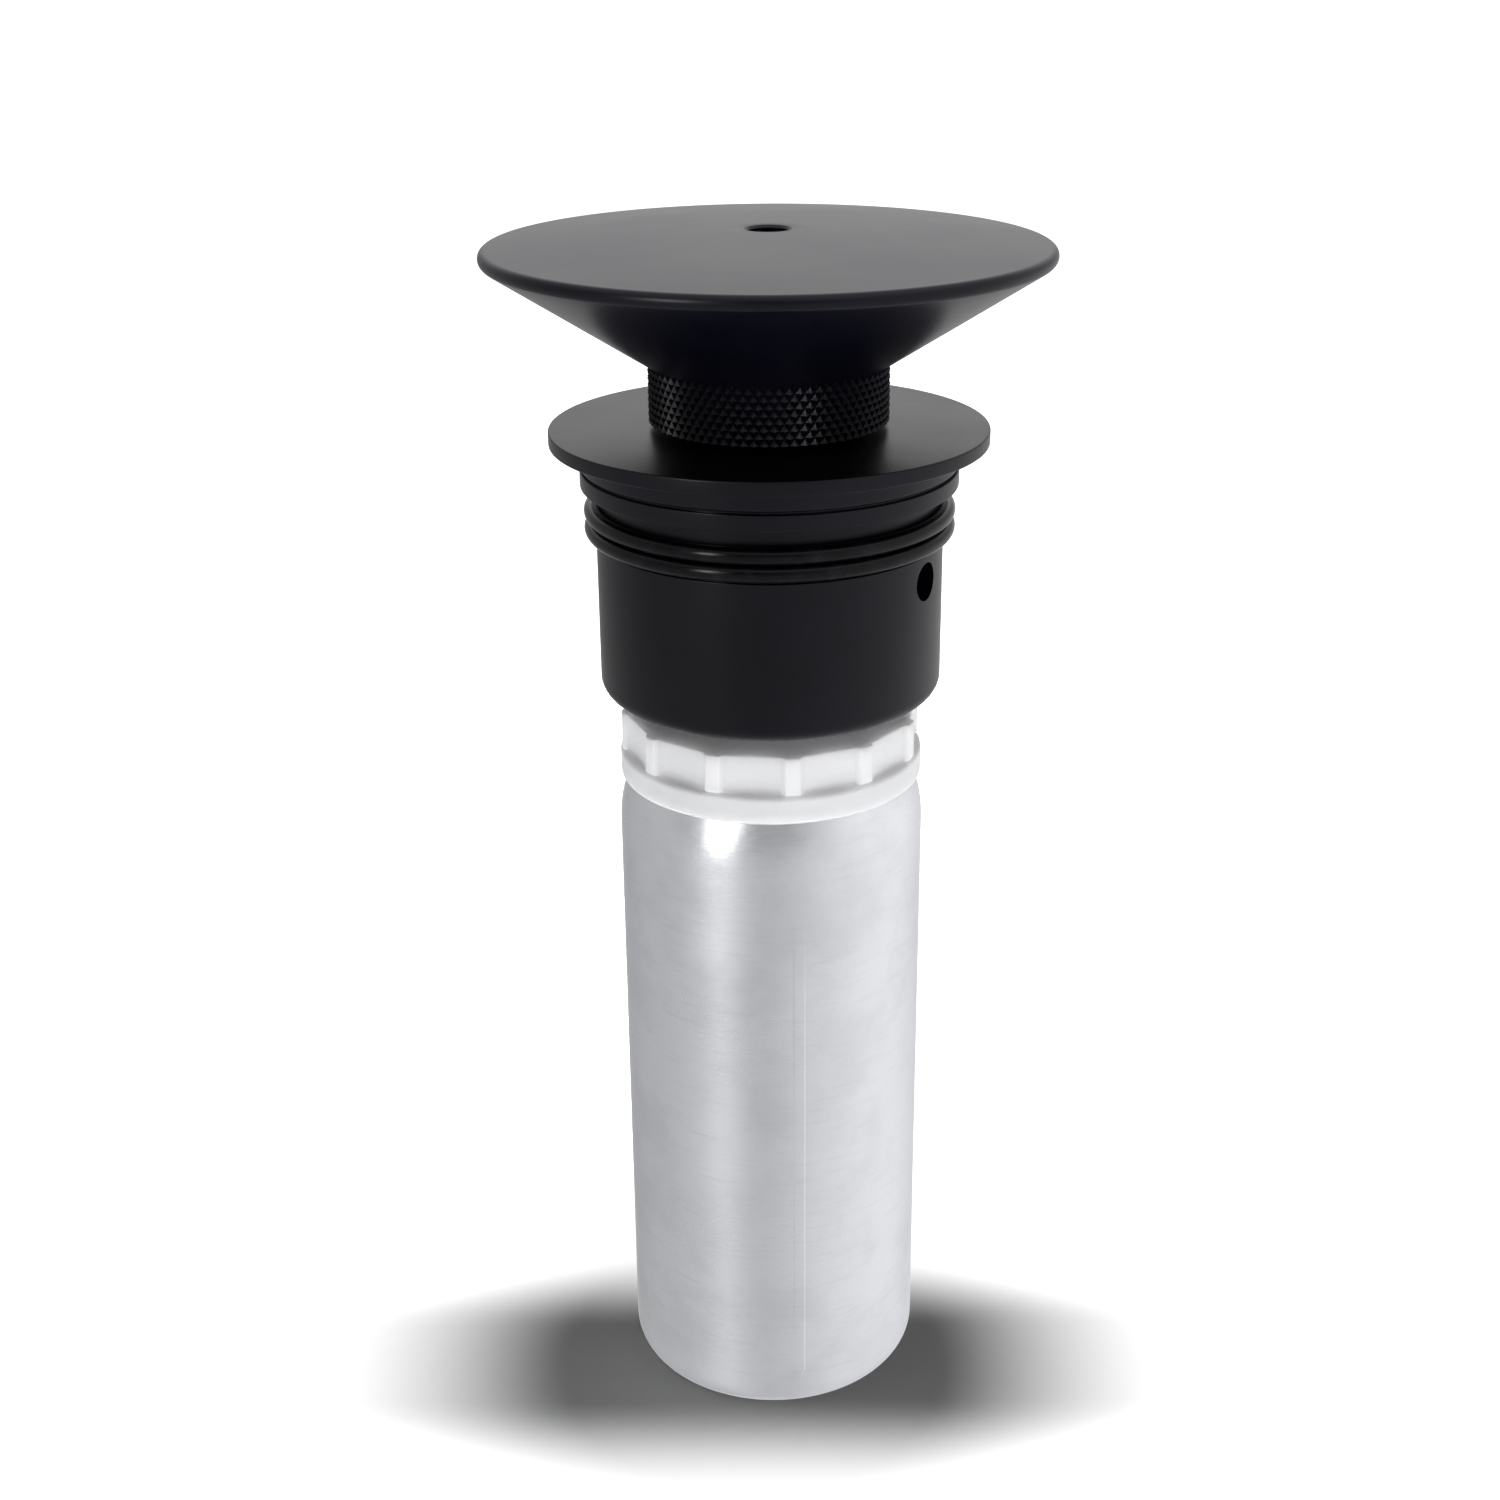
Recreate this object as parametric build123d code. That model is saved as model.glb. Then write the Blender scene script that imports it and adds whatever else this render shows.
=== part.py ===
from build123d import *
import math
import os

# Small liquid nitrogen dewar: a double-walled aluminium flask with a white screw
# ring on its neck, and a black vented head with two O-rings, a seating flange, a
# knurled collar and a mushroom cap. Millimetres, +Z up. The origin is the middle
# of the base, on the surface that the flask stands on.

# ---- flask: outer shell ---------------------------------------------------------
flask_r = 33.0
flask_wall = 1.2
base_round = 6.3
recess_r = 22.0
recess_top_r = 19.5
recess_depth = 3.0
side_top_z = 136.6
shoulder_round = 28.0
shoulder_end_z = 148.6
neck_r = 27.0
neck_foot_z = 150.6
neck_top_z = 160.4

strip_width = 2.7
strip_low_z = 10.0
strip_high_z = 132.0
strip_height = 0.12
strip_azimuth = 10.0

# ---- flask: inner vessel and what lies between the walls ------------------------
vessel_r = 28.5
vessel_wall = 1.0
vessel_low_z = 10.0
vessel_side_top_z = 127.0
vessel_neck_z = 135.0
vessel_low_round = 6.0
vessel_high_round = 5.0
throat_r = 17.0
throat_wall = 0.8
throat_low_z = 131.0
fitting_thickness = 3.4
wrap_thickness = 2.1
wrap_low_z = 16.0
wrap_high_z = 124.0
sachet_r = 11.0
sachet_bore_r = 4.0
sachet_thickness = 3.0
spacer_r = 18.0
spacer_bore_r = 14.0
spacer_slot_width = 6.0
port_r = 3.0
port_stem_length = 2.2
port_head_r = 5.5
port_head_thickness = 1.5
port_seal_thickness = 0.5

# ---- neck gasket and screw ring -------------------------------------------------
gasket_r = 25.5
gasket_bore_r = 17.5
gasket_thickness = 1.5

ring_low_z = 147.6
ring_bead_r = 32.56
ring_bead_top_z = 153.7
ring_bead_round = 0.6
ring_skirt_bore_r = 31.25
ring_skirt_top_z = 151.0
ring_thread_bore_r = 27.25
ring_flat_r = 30.6
ring_shoulder_z = 162.0
ring_lip_top_z = 166.4
ring_lip_bore_r = 22.4
ring_rib_r = 32.2
ring_rib_width = 3.7
ring_rib_count = 12
ring_first_rib_azimuth = 8.0

# ---- head: plug body ------------------------------------------------------------
gap = 0.05
barrel_r = 36.2
barrel_wall = 3.0
barrel_low_z = 166.7
barrel_floor_z = 171.0
barrel_top_z = 200.4
barrel_round = 3.5
groove_r = 35.4
groove_top_z = 211.6
land_r = 39.2
body_top_z = 215.1
spigot_r = 22.0
vent_hole_r = 1.2
vent_circle_r = 17.0
vent_hole_count = 4

port_hole_r = 4.0
port_hole_z = 194.9
port_azimuth = 61.0
port_boss_r = 7.0
port_boss_inner_r = 28.0

o_ring_section = 3.5
lower_o_ring_z = 202.75
upper_o_ring_z = 206.3
o_ring_squash = 0.3

# ---- head: flange plate, lock screw, filling parts ------------------------------
seal_thickness = 0.4
seal_r = 38.5
seal_bore_r = 33.4
flange_r = 45.3
flange_low_z = 220.3
flange_top_z = 223.3
flange_edge = 0.35
register_r = 33.1
register_bore_r = 29.0
register_low_z = 206.0
spout_r = 19.0
spout_bore_r = 14.0
spout_top_z = 232.3
lock_screw_r = 1.5
lock_screw_z = 209.8
lock_screw_tip_r = 29.5
lock_screw_end_r = 35.2
lock_socket_r = 0.8
lock_socket_depth = 1.5

tube_r = 8.0
tube_wall = 1.0
tube_low_z = 105.0
tube_high_z = 184.0
nut_across_flats = 22.0
nut_thickness = 5.0
funnel_wall = 1.0
funnel_socket_z = 178.0
funnel_mouth_r = 16.0
funnel_lip_r = 20.0
foam_r = 16.4
foam_low_z = 110.0
retainer_r = 15.0
retainer_thickness = 3.0

# ---- stopper --------------------------------------------------------------------
stopper_r = 13.5
stopper_low_z = 222.0
stopper_flange_r = 18.5
stopper_flange_top_z = 235.3
stopper_seal_bore_r = 14.2
stopper_seal_thickness = 1.0
swivel_bore_r = 3.08
swivel_pocket_r = 5.3
swivel_pocket_z = 227.3

# ---- cap ------------------------------------------------------------------------
collar_r = 24.74
collar_low_z = 224.3
collar_chamfer = 0.4
hub_r = 21.5
hub_low_z = 225.0
hub_bore_r = 19.2
hub_top_z = 243.0
washer_r = 9.0
washer_thickness = 0.8
swivel_r = 3.0
swivel_head_r = 5.0
swivel_head_low_z = 224.0
swivel_head_top_z = 227.0
swivel_end_z = 241.0
swivel_hex_r = 2.3
swivel_hex_depth = 1.8

rim_r = 57.6
rim_round = 1.6
rim_z = 258.3
cone_angle = 32.6
dome_rise = 3.0
cap_wall = 3.0
cap_boss_r = 8.0
cavity_rim_r = 50.0
cavity_rim_height = 1.3
cavity_centre_z = 259.6
eye_hole_r = 4.25
eye_hole_low_z = 246.5
eye_hole_chamfer = 0.5


def turned(*outline, rounding=()):
    """Solid of revolution about Z of a closed (radius, height) outline."""
    face = make_face(Polyline(*outline, close=True))
    for corner, radius in rounding:
        vertex = face.vertices().sort_by_distance(corner)[0]
        face = fillet(vertex, radius)
    return revolve(Plane.XZ * face, axis=Axis.Z)


def ring(outer_r, inner_r, low_z, high_z):
    """Plain ring, or a disc where inner_r is 0."""
    return turned((inner_r, low_z), (outer_r, low_z), (outer_r, high_z), (inner_r, high_z))


def rod(radius, low_z, high_z):
    """Upright round bar on the axis."""
    return Pos(0, 0, low_z) * Cylinder(radius, high_z - low_z, align=(Align.CENTER, Align.CENTER, Align.MIN))


def radial_rod(radius, azimuth, height, inner_r, outer_r):
    """Round bar that points outwards; azimuth is measured from -Y towards +X."""
    direction = azimuth - 90.0
    bar = Cylinder(radius, outer_r - inner_r, align=(Align.CENTER, Align.CENTER, Align.MIN))
    return Pos(0, 0, height) * Rot(0, 0, direction) * Pos(inner_r, 0, 0) * Rot(0, 90, 0) * bar


def edges_at(part, height):
    """Circular edges of a part at one height."""
    return part.edges().filter_by(GeomType.CIRCLE).filter_by_position(Axis.Z, height - gap, height + gap)


# ---- flask ----------------------------------------------------------------------
def flask_form(inset):
    """The flask's outer form as a solid, moved inwards by inset."""
    sine = (shoulder_end_z - side_top_z) / shoulder_round
    cosine = math.sqrt(1 - sine * sine)
    arc_centre_r = flask_r - shoulder_round
    arc_r = shoulder_round - inset
    corner = base_round - inset
    side_r = flask_r - inset
    shoulder_end = (arc_centre_r + arc_r * cosine, side_top_z + arc_r * sine)
    half = math.asin(sine) / 2
    shoulder_middle = (arc_centre_r + arc_r * math.cos(half), side_top_z + arc_r * math.sin(half))
    corner_middle = (
        side_r - corner + corner * math.sin(math.pi / 4),
        base_round - corner * math.cos(math.pi / 4),
    )
    base = Polyline(
        (0, neck_top_z),
        (0, recess_depth + inset),
        (recess_top_r + inset, recess_depth + inset),
        (recess_r + inset, inset),
        (side_r - corner, inset),
    )
    base_corner = ThreePointArc((side_r - corner, inset), corner_middle, (side_r, base_round))
    side = Line((side_r, base_round), (side_r, side_top_z))
    shoulder = ThreePointArc((side_r, side_top_z), shoulder_middle, shoulder_end)
    neck = Polyline(
        shoulder_end,
        (neck_r - inset, neck_foot_z - inset),
        (neck_r - inset, neck_top_z),
        (0, neck_top_z),
    )
    face = make_face([base, base_corner, side, shoulder, neck])
    return revolve(Plane.XZ * face, axis=Axis.Z)


def pressed_strip():
    """Long shallow strip with round ends, raised from the side of the shell."""
    length = strip_high_z - strip_low_z
    outline = SlotOverall(length, strip_width, rotation=90)
    prism = extrude(Plane.XZ.offset(flask_r - flask_wall / 2) * outline, amount=flask_wall)
    prism = Pos(0, 0, strip_low_z + length / 2) * prism
    sleeve = ring(flask_r + strip_height, flask_r - flask_wall / 2, strip_low_z, strip_high_z)
    return Rot(0, 0, strip_azimuth) * (prism & sleeve)


def outer_shell():
    shell = flask_form(0) - flask_form(flask_wall)
    shell = shell - rod(port_r, 0, recess_depth + 2 * flask_wall)
    return shell + pressed_strip()


def inner_vessel():
    neck_outer_r = throat_r + throat_wall
    run = vessel_r - neck_outer_r
    rise = vessel_neck_z - vessel_side_top_z
    drop = vessel_wall * math.hypot(run, rise) / run
    side_in = vessel_r - vessel_wall
    side_in_z = vessel_side_top_z + vessel_wall * rise / run - drop
    return turned(
        (0, vessel_low_z),
        (vessel_r, vessel_low_z),
        (vessel_r, vessel_side_top_z),
        (neck_outer_r, vessel_neck_z),
        (neck_outer_r, vessel_neck_z - drop),
        (side_in, side_in_z),
        (side_in, vessel_low_z + vessel_wall),
        (0, vessel_low_z + vessel_wall),
        rounding=(
            ((vessel_r, vessel_low_z), vessel_low_round),
            ((vessel_r, vessel_side_top_z), vessel_high_round),
            ((side_in, side_in_z), vessel_high_round - vessel_wall),
            ((side_in, vessel_low_z + vessel_wall), vessel_low_round - vessel_wall),
        ),
    )


def neck_tube():
    return ring(throat_r + throat_wall, throat_r, throat_low_z, neck_top_z)


def neck_fitting():
    return ring(neck_r - flask_wall, throat_r + throat_wall, neck_top_z - fitting_thickness, neck_top_z)


def insulation_wrap():
    return ring(vessel_r + wrap_thickness, vessel_r, wrap_low_z, wrap_high_z)


def getter_sachet():
    floor = recess_depth + flask_wall
    return ring(sachet_r, sachet_bore_r, floor, floor + sachet_thickness)


def base_spacer():
    floor = recess_depth + flask_wall
    spacer = ring(spacer_r, spacer_bore_r, floor, vessel_low_z)
    slot_height = (vessel_low_z - floor) / 2
    slot = Pos(0, 0, vessel_low_z - slot_height / 2) * Box(3 * spacer_r, spacer_slot_width, slot_height)
    return spacer - slot - Rot(0, 0, 90) * slot


def evacuation_plug():
    head_top = recess_depth - port_seal_thickness
    stem = rod(port_r, head_top, head_top + port_seal_thickness + port_stem_length)
    return stem + rod(port_head_r, head_top - port_head_thickness, head_top)


def evacuation_seal():
    return ring(port_head_r, port_r, recess_depth - port_seal_thickness, recess_depth)


# ---- gasket and ring ------------------------------------------------------------
def neck_gasket():
    return ring(gasket_r, gasket_bore_r, neck_top_z, neck_top_z + gasket_thickness)


def neck_ring():
    bead = ring(ring_bead_r, 0, ring_low_z, ring_bead_top_z)
    bead = fillet(edges_at(bead, ring_low_z) + edges_at(bead, ring_bead_top_z), ring_bead_round)
    wall_height = ring_shoulder_z - ring_bead_top_z
    rib_height = wall_height + 1
    flats = RegularPolygon(ring_flat_r, ring_rib_count, major_radius=False)
    flats = Pos(0, 0, ring_bead_top_z - 1) * extrude(flats, amount=rib_height)
    crown = turned(
        (0, ring_shoulder_z), (ring_flat_r, ring_shoulder_z), (ring_lip_bore_r, ring_lip_top_z), (0, ring_lip_top_z)
    )
    first_turn = ring_first_rib_azimuth - 90.0
    step = 360.0 / ring_rib_count
    body = bead + Rot(0, 0, first_turn + step / 2) * flats + crown
    rib = Box(ring_rib_r, ring_rib_width, rib_height, align=(Align.MIN, Align.CENTER, Align.MIN))
    rib = Pos(0, 0, ring_bead_top_z - 1) * rib
    for number in range(ring_rib_count):
        body = body + Rot(0, 0, first_turn + number * step) * rib
    skirt_space = rod(ring_skirt_bore_r, ring_low_z, ring_skirt_top_z)
    thread_space = rod(ring_thread_bore_r, ring_low_z, ring_shoulder_z)
    return body - skirt_space - thread_space - rod(ring_lip_bore_r, ring_low_z, ring_lip_top_z)


# ---- head -----------------------------------------------------------------------
def plug_body():
    spigot_low_z = neck_top_z + gasket_thickness + gap
    cavity_r = barrel_r - barrel_wall
    body = turned(
        (0, spigot_low_z),
        (spigot_r, spigot_low_z),
        (spigot_r, barrel_low_z),
        (barrel_r, barrel_low_z),
        (barrel_r, barrel_top_z),
        (groove_r, barrel_top_z),
        (groove_r, groove_top_z),
        (land_r, groove_top_z),
        (land_r, body_top_z),
        (0, body_top_z),
        rounding=(((barrel_r, barrel_low_z), barrel_round),),
    )
    body = body - rod(cavity_r, barrel_floor_z, body_top_z)
    body = body + radial_rod(port_boss_r, port_azimuth, port_hole_z, port_boss_inner_r, cavity_r + barrel_wall / 2)
    body = body - radial_rod(port_hole_r, port_azimuth, port_hole_z, port_boss_inner_r, barrel_r + 1)
    body = body - rod(tube_r, spigot_low_z, barrel_floor_z)
    for number in range(vent_hole_count):
        angle = 45.0 + 360.0 * number / vent_hole_count
        hole = Pos(vent_circle_r, 0, 0) * rod(vent_hole_r, spigot_low_z, barrel_floor_z)
        body = body - Rot(0, 0, angle) * hole
    return body - radial_rod(lock_screw_r, 180.0, lock_screw_z, register_r, barrel_r)


def o_ring(height):
    """O-ring seated on the groove floor, flattened a little where it rests."""
    section_r = o_ring_section / 2
    torus = Pos(0, 0, height) * Torus(groove_r + section_r - o_ring_squash, section_r)
    return torus - rod(groove_r, height - o_ring_section, height + o_ring_section)


def flange_seal():
    return ring(seal_r, seal_bore_r, body_top_z, body_top_z + seal_thickness)


def flange_plate():
    plate_low_z = body_top_z + seal_thickness
    plate = turned(
        (spout_bore_r, plate_low_z),
        (register_bore_r, plate_low_z),
        (register_bore_r, register_low_z),
        (register_r, register_low_z),
        (register_r, plate_low_z),
        (land_r, plate_low_z),
        (land_r, flange_low_z),
        (flange_r, flange_low_z),
        (flange_r, flange_top_z),
        (spout_r, flange_top_z),
        (spout_r, spout_top_z),
        (spout_bore_r, spout_top_z),
        rounding=(((flange_r, flange_low_z), flange_edge), ((flange_r, flange_top_z), flange_edge)),
    )
    return plate - radial_rod(lock_screw_r, 180.0, lock_screw_z, register_bore_r - 1, register_r + 1)


def lock_screw():
    screw = radial_rod(lock_screw_r, 180.0, lock_screw_z, lock_screw_tip_r, lock_screw_end_r)
    socket_low = lock_screw_end_r - lock_socket_depth
    return screw - radial_rod(lock_socket_r, 180.0, lock_screw_z, socket_low, lock_screw_end_r + 1)


def fill_tube():
    return ring(tube_r, tube_r - tube_wall, tube_low_z, tube_high_z)


def tube_nut():
    nut = extrude(RegularPolygon(nut_across_flats / 2, 6, major_radius=False), amount=nut_thickness)
    return Pos(0, 0, barrel_floor_z) * nut - rod(tube_r, barrel_floor_z, barrel_floor_z + nut_thickness)


def fill_funnel():
    lip_top_z = body_top_z + seal_thickness
    lip_low_z = lip_top_z - funnel_wall
    return turned(
        (tube_r, funnel_socket_z),
        (tube_r + funnel_wall, funnel_socket_z),
        (tube_r + funnel_wall, tube_high_z),
        (funnel_mouth_r + funnel_wall, lip_low_z),
        (funnel_lip_r, lip_low_z),
        (funnel_lip_r, lip_top_z),
        (funnel_mouth_r, lip_top_z),
        (tube_r, tube_high_z),
    )


def foam_neck_plug():
    return ring(foam_r, tube_r, foam_low_z, neck_top_z + gasket_thickness + gap)


def foam_retainer():
    return ring(retainer_r, tube_r, foam_low_z - retainer_thickness, foam_low_z)


# ---- stopper --------------------------------------------------------------------
def fill_stopper():
    flange_low_z = spout_top_z + stopper_seal_thickness
    return turned(
        (swivel_pocket_r, stopper_low_z),
        (stopper_r, stopper_low_z),
        (stopper_r, flange_low_z),
        (stopper_flange_r, flange_low_z),
        (stopper_flange_r, stopper_flange_top_z),
        (swivel_bore_r, stopper_flange_top_z),
        (swivel_bore_r, swivel_pocket_z),
        (swivel_pocket_r, swivel_pocket_z),
    )


def stopper_seal():
    return ring(stopper_flange_r, stopper_seal_bore_r, spout_top_z, spout_top_z + stopper_seal_thickness)


# ---- cap ------------------------------------------------------------------------
rim_centre_r = rim_r - rim_round
slope = math.tan(math.radians(cone_angle))
rim_foot_r = rim_centre_r + rim_round * math.sin(math.radians(cone_angle))
rim_foot_z = rim_z - rim_round * math.cos(math.radians(cone_angle))
cone_low_z = rim_foot_z - (rim_foot_r - collar_r) * slope
dome_edge_z = rim_z + rim_round
dome_top_z = dome_edge_z + dome_rise


def cap_cavity():
    """The foam-filled space inside the cap."""
    rise = cap_wall / math.cos(math.radians(cone_angle))
    floor_r = collar_r + (hub_top_z - cone_low_z - rise) / slope
    rim_low_z = cone_low_z + rise + (cavity_rim_r - collar_r) * slope
    return turned(
        (cap_boss_r, hub_top_z),
        (floor_r, hub_top_z),
        (cavity_rim_r, rim_low_z),
        (cavity_rim_r, rim_low_z + cavity_rim_height),
        (cap_boss_r, cavity_centre_z),
    )


def cap_shell():
    dome_middle_r = rim_centre_r / 2
    dome_middle_z = dome_edge_z + dome_rise * 0.75
    under = Polyline(
        (0, dome_top_z),
        (0, hub_top_z),
        (hub_r, hub_top_z),
        (hub_r, cone_low_z),
        (collar_r, cone_low_z),
        (rim_foot_r, rim_foot_z),
    )
    rim = ThreePointArc((rim_foot_r, rim_foot_z), (rim_r, rim_z), (rim_centre_r, dome_edge_z))
    dome = ThreePointArc((rim_centre_r, dome_edge_z), (dome_middle_r, dome_middle_z), (0, dome_top_z))
    shell = revolve(Plane.XZ * make_face([under, rim, dome]), axis=Axis.Z)
    eye_hole = turned(
        (0, eye_hole_low_z),
        (eye_hole_r, eye_hole_low_z),
        (eye_hole_r, dome_top_z - eye_hole_chamfer),
        (eye_hole_r + 2 * eye_hole_chamfer, dome_top_z + eye_hole_chamfer),
        (0, dome_top_z + eye_hole_chamfer),
    )
    return shell - cap_cavity() - eye_hole


def cap_hub():
    hub = turned(
        (0, cone_low_z),
        (hub_bore_r, cone_low_z),
        (hub_bore_r, hub_low_z),
        (hub_r, hub_low_z),
        (hub_r, hub_top_z),
        (0, hub_top_z),
    )
    return hub - rod(swivel_r, cone_low_z, swivel_end_z)


def knurled_collar():
    collar = ring(collar_r, hub_r, collar_low_z, cone_low_z)
    outer = edges_at(collar, collar_low_z).sort_by(SortBy.RADIUS)[-1]
    return chamfer(outer, collar_chamfer)


def thrust_washer():
    return ring(washer_r, swivel_r, cone_low_z - washer_thickness, cone_low_z)


def swivel_screw():
    screw = rod(swivel_head_r, swivel_head_low_z, swivel_head_top_z) + rod(swivel_r, swivel_head_top_z, swivel_end_z)
    socket = extrude(RegularPolygon(swivel_hex_r, 6), amount=swivel_hex_depth)
    return screw - Pos(0, 0, swivel_head_low_z) * socket


os.makedirs("parts", exist_ok=True)

NODES = {
    "outer_shell": outer_shell,
    "inner_vessel": inner_vessel,
    "neck_tube": neck_tube,
    "neck_fitting": neck_fitting,
    "insulation_wrap": insulation_wrap,
    "getter_sachet": getter_sachet,
    "base_spacer": base_spacer,
    "evacuation_plug": evacuation_plug,
    "evacuation_seal": evacuation_seal,
    "neck_gasket": neck_gasket,
    "neck_ring": neck_ring,
    "plug_body": plug_body,
    "flange_seal": flange_seal,
    "flange_plate": flange_plate,
    "lock_screw": lock_screw,
    "fill_tube": fill_tube,
    "tube_nut": tube_nut,
    "fill_funnel": fill_funnel,
    "foam_neck_plug": foam_neck_plug,
    "foam_retainer": foam_retainer,
    "fill_stopper": fill_stopper,
    "stopper_seal": stopper_seal,
    "cap_shell": cap_shell,
    "cap_foam": cap_cavity,
    "cap_hub": cap_hub,
    "knurled_collar": knurled_collar,
    "thrust_washer": thrust_washer,
    "swivel_screw": swivel_screw,
}

for name, make in NODES.items():
    export_step(make(), f"parts/{name}.step")

for name, height in (("lower_o_ring", lower_o_ring_z), ("upper_o_ring", upper_o_ring_z)):
    export_step(o_ring(height), f"parts/{name}.step")
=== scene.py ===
import math

import bmesh
import bpy
from bpy.props import (
    FloatProperty,
    FloatVectorProperty,
    IntProperty,
    PointerProperty,
)
from mathutils import Euler, Matrix, Vector


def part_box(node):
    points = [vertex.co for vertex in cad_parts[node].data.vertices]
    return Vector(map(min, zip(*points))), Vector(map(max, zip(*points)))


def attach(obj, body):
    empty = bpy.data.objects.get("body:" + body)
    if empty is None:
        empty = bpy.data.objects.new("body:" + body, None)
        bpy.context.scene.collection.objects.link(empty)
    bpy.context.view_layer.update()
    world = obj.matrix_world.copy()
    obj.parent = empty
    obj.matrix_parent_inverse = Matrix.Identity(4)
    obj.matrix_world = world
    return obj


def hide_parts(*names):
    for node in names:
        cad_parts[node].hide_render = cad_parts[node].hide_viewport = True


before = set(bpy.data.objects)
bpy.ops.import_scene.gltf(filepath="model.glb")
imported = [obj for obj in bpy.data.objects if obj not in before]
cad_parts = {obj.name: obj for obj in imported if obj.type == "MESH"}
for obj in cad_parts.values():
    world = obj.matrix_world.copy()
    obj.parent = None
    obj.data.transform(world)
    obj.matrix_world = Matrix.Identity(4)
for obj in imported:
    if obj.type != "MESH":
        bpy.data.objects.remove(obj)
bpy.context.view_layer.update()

bl_info = {
    "name": "Nitrogen Dewar Builder",
    "version": (1, 0, 0),
    "blender": (4, 5, 0),
    "location": "3D View > Sidebar > Dewar",
    "description": "Builds the pieces and finishes of a small liquid nitrogen dewar on its frame",
    "category": "Object",
}

MM = 0.001
TAU = 2 * math.pi
# Columns round a turned piece, finer where its outside is in full view.
COLUMNS = 288
SHELL_COLUMNS = 240
HUB_COLUMNS = 192
# Radii or heights closer than this, in metres, are the same one.
SAME = 1e-6


def radius_of(node):
    """Outer radius of a round CAD node."""
    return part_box(node)[1].x


def low_of(node):
    """Height of a CAD node's lowest point."""
    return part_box(node)[0].z


def high_of(node):
    """Height of a CAD node's highest point."""
    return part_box(node)[1].z


# ---------------------------------------------------------------------------------
# Outlines: lists of (radius, height) points, in metres
# ---------------------------------------------------------------------------------
def arc(centre_r, centre_z, radius, start, end, steps):
    """Points of an arc; the angles are in degrees, from the radial direction upwards."""
    points = []
    for step in range(steps + 1):
        angle = math.radians(start + (end - start) * step / steps)
        points.append((centre_r + radius * math.cos(angle), centre_z + radius * math.sin(angle)))
    return points


def rounded(corners, steps=5):
    """Outline through (radius, height, rounding) corners, with an arc at each rounded one."""
    points = []
    count = len(corners)
    for index, (r, z, rounding) in enumerate(corners):
        here = Vector((r, z))
        if rounding <= 0:
            points.append((r, z))
            continue
        back = (Vector(corners[index - 1][:2]) - here).normalized()
        onward = (Vector(corners[(index + 1) % count][:2]) - here).normalized()
        half = back.angle(onward) / 2
        centre = here + (back + onward).normalized() * rounding / math.sin(half)
        first = here + back * rounding / math.tan(half) - centre
        last = here + onward * rounding / math.tan(half) - centre
        sweep = first.angle_signed(last)
        start = math.atan2(first.y, first.x)
        for step in range(steps + 1):
            angle = start - sweep * step / steps
            r = centre.x + rounding * math.cos(angle)
            z = centre.y + rounding * math.sin(angle)
            points.append((r, z))
    return points


def stretch(start, end, step):
    """Evenly spaced points of a straight run, without its first point."""
    count = max(1, round((Vector(end) - Vector(start)).length / step))
    return [tuple(Vector(start).lerp(Vector(end), k / count)) for k in range(1, count + 1)]


def even_turn(count):
    """Azimuths of a full turn, in radians from -Y towards +X."""
    return [TAU * k / count for k in range(count)]


def smooth(value, low, high):
    """0 below low, 1 above high and a smooth step between them."""
    t = min(1.0, max(0.0, (value - low) / (high - low)))
    return t * t * (3 - 2 * t)


def saw(value):
    """Triangle wave: 0 at whole numbers and 1 half way between them."""
    return 1 - abs(2 * (value - math.floor(value)) - 1)


# ---------------------------------------------------------------------------------
# Meshes
# ---------------------------------------------------------------------------------
def turned(r, azimuth, z):
    """Point at a radius, azimuth and height."""
    return (r * math.sin(azimuth), -r * math.cos(azimuth), z)


def band(bm, lower, upper):
    """Adds the faces between two rows of points that go round the axis."""
    for k in range(len(lower)):
        after = (k + 1) % len(lower)
        bm.faces.new((lower[k], lower[after], upper[after], upper[k]))


def lathe(outlines, azimuths, shape=None):
    """bmesh of closed outlines turned about Z. shape(r, z, azimuth) gives a point's own radius."""
    bm = bmesh.new()
    for outline in outlines:
        rows = []
        for r, z in outline:
            row = []
            for azimuth in azimuths:
                own = shape(r, z, azimuth) if shape else r
                row.append(bm.verts.new(turned(own, azimuth, z)))
            rows.append(row)
        for index, row in enumerate(rows):
            band(bm, row, rows[(index + 1) % len(rows)])
    return bm


def finished(bm, name, body, slot, *nodes, sharp=32.0):
    """Object of a bmesh that rides on a body and stands for CAD nodes."""
    bmesh.ops.recalc_face_normals(bm, faces=bm.faces)
    mesh = bpy.data.meshes.new(name)
    bm.to_mesh(mesh)
    bm.free()
    mesh.shade_smooth()
    mesh.set_sharp_from_angle(angle=math.radians(sharp))
    piece = bpy.data.objects.new(name, mesh)
    bpy.context.scene.collection.objects.link(piece)
    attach(piece, body)
    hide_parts(*nodes)
    return piece


def bar(radius, start, end, sides=64):
    """bmesh of a round bar between two points, for cutting and joining."""
    bm = bmesh.new()
    axis = Vector(end) - Vector(start)
    turn = axis.to_track_quat("Z", "Y").to_matrix().to_4x4()
    place = Matrix.Translation((Vector(start) + Vector(end)) / 2) @ turn
    bmesh.ops.create_cone(
        bm,
        cap_ends=True,
        segments=sides,
        radius1=radius,
        radius2=radius,
        depth=axis.length,
        matrix=place,
    )
    return bm


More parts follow.
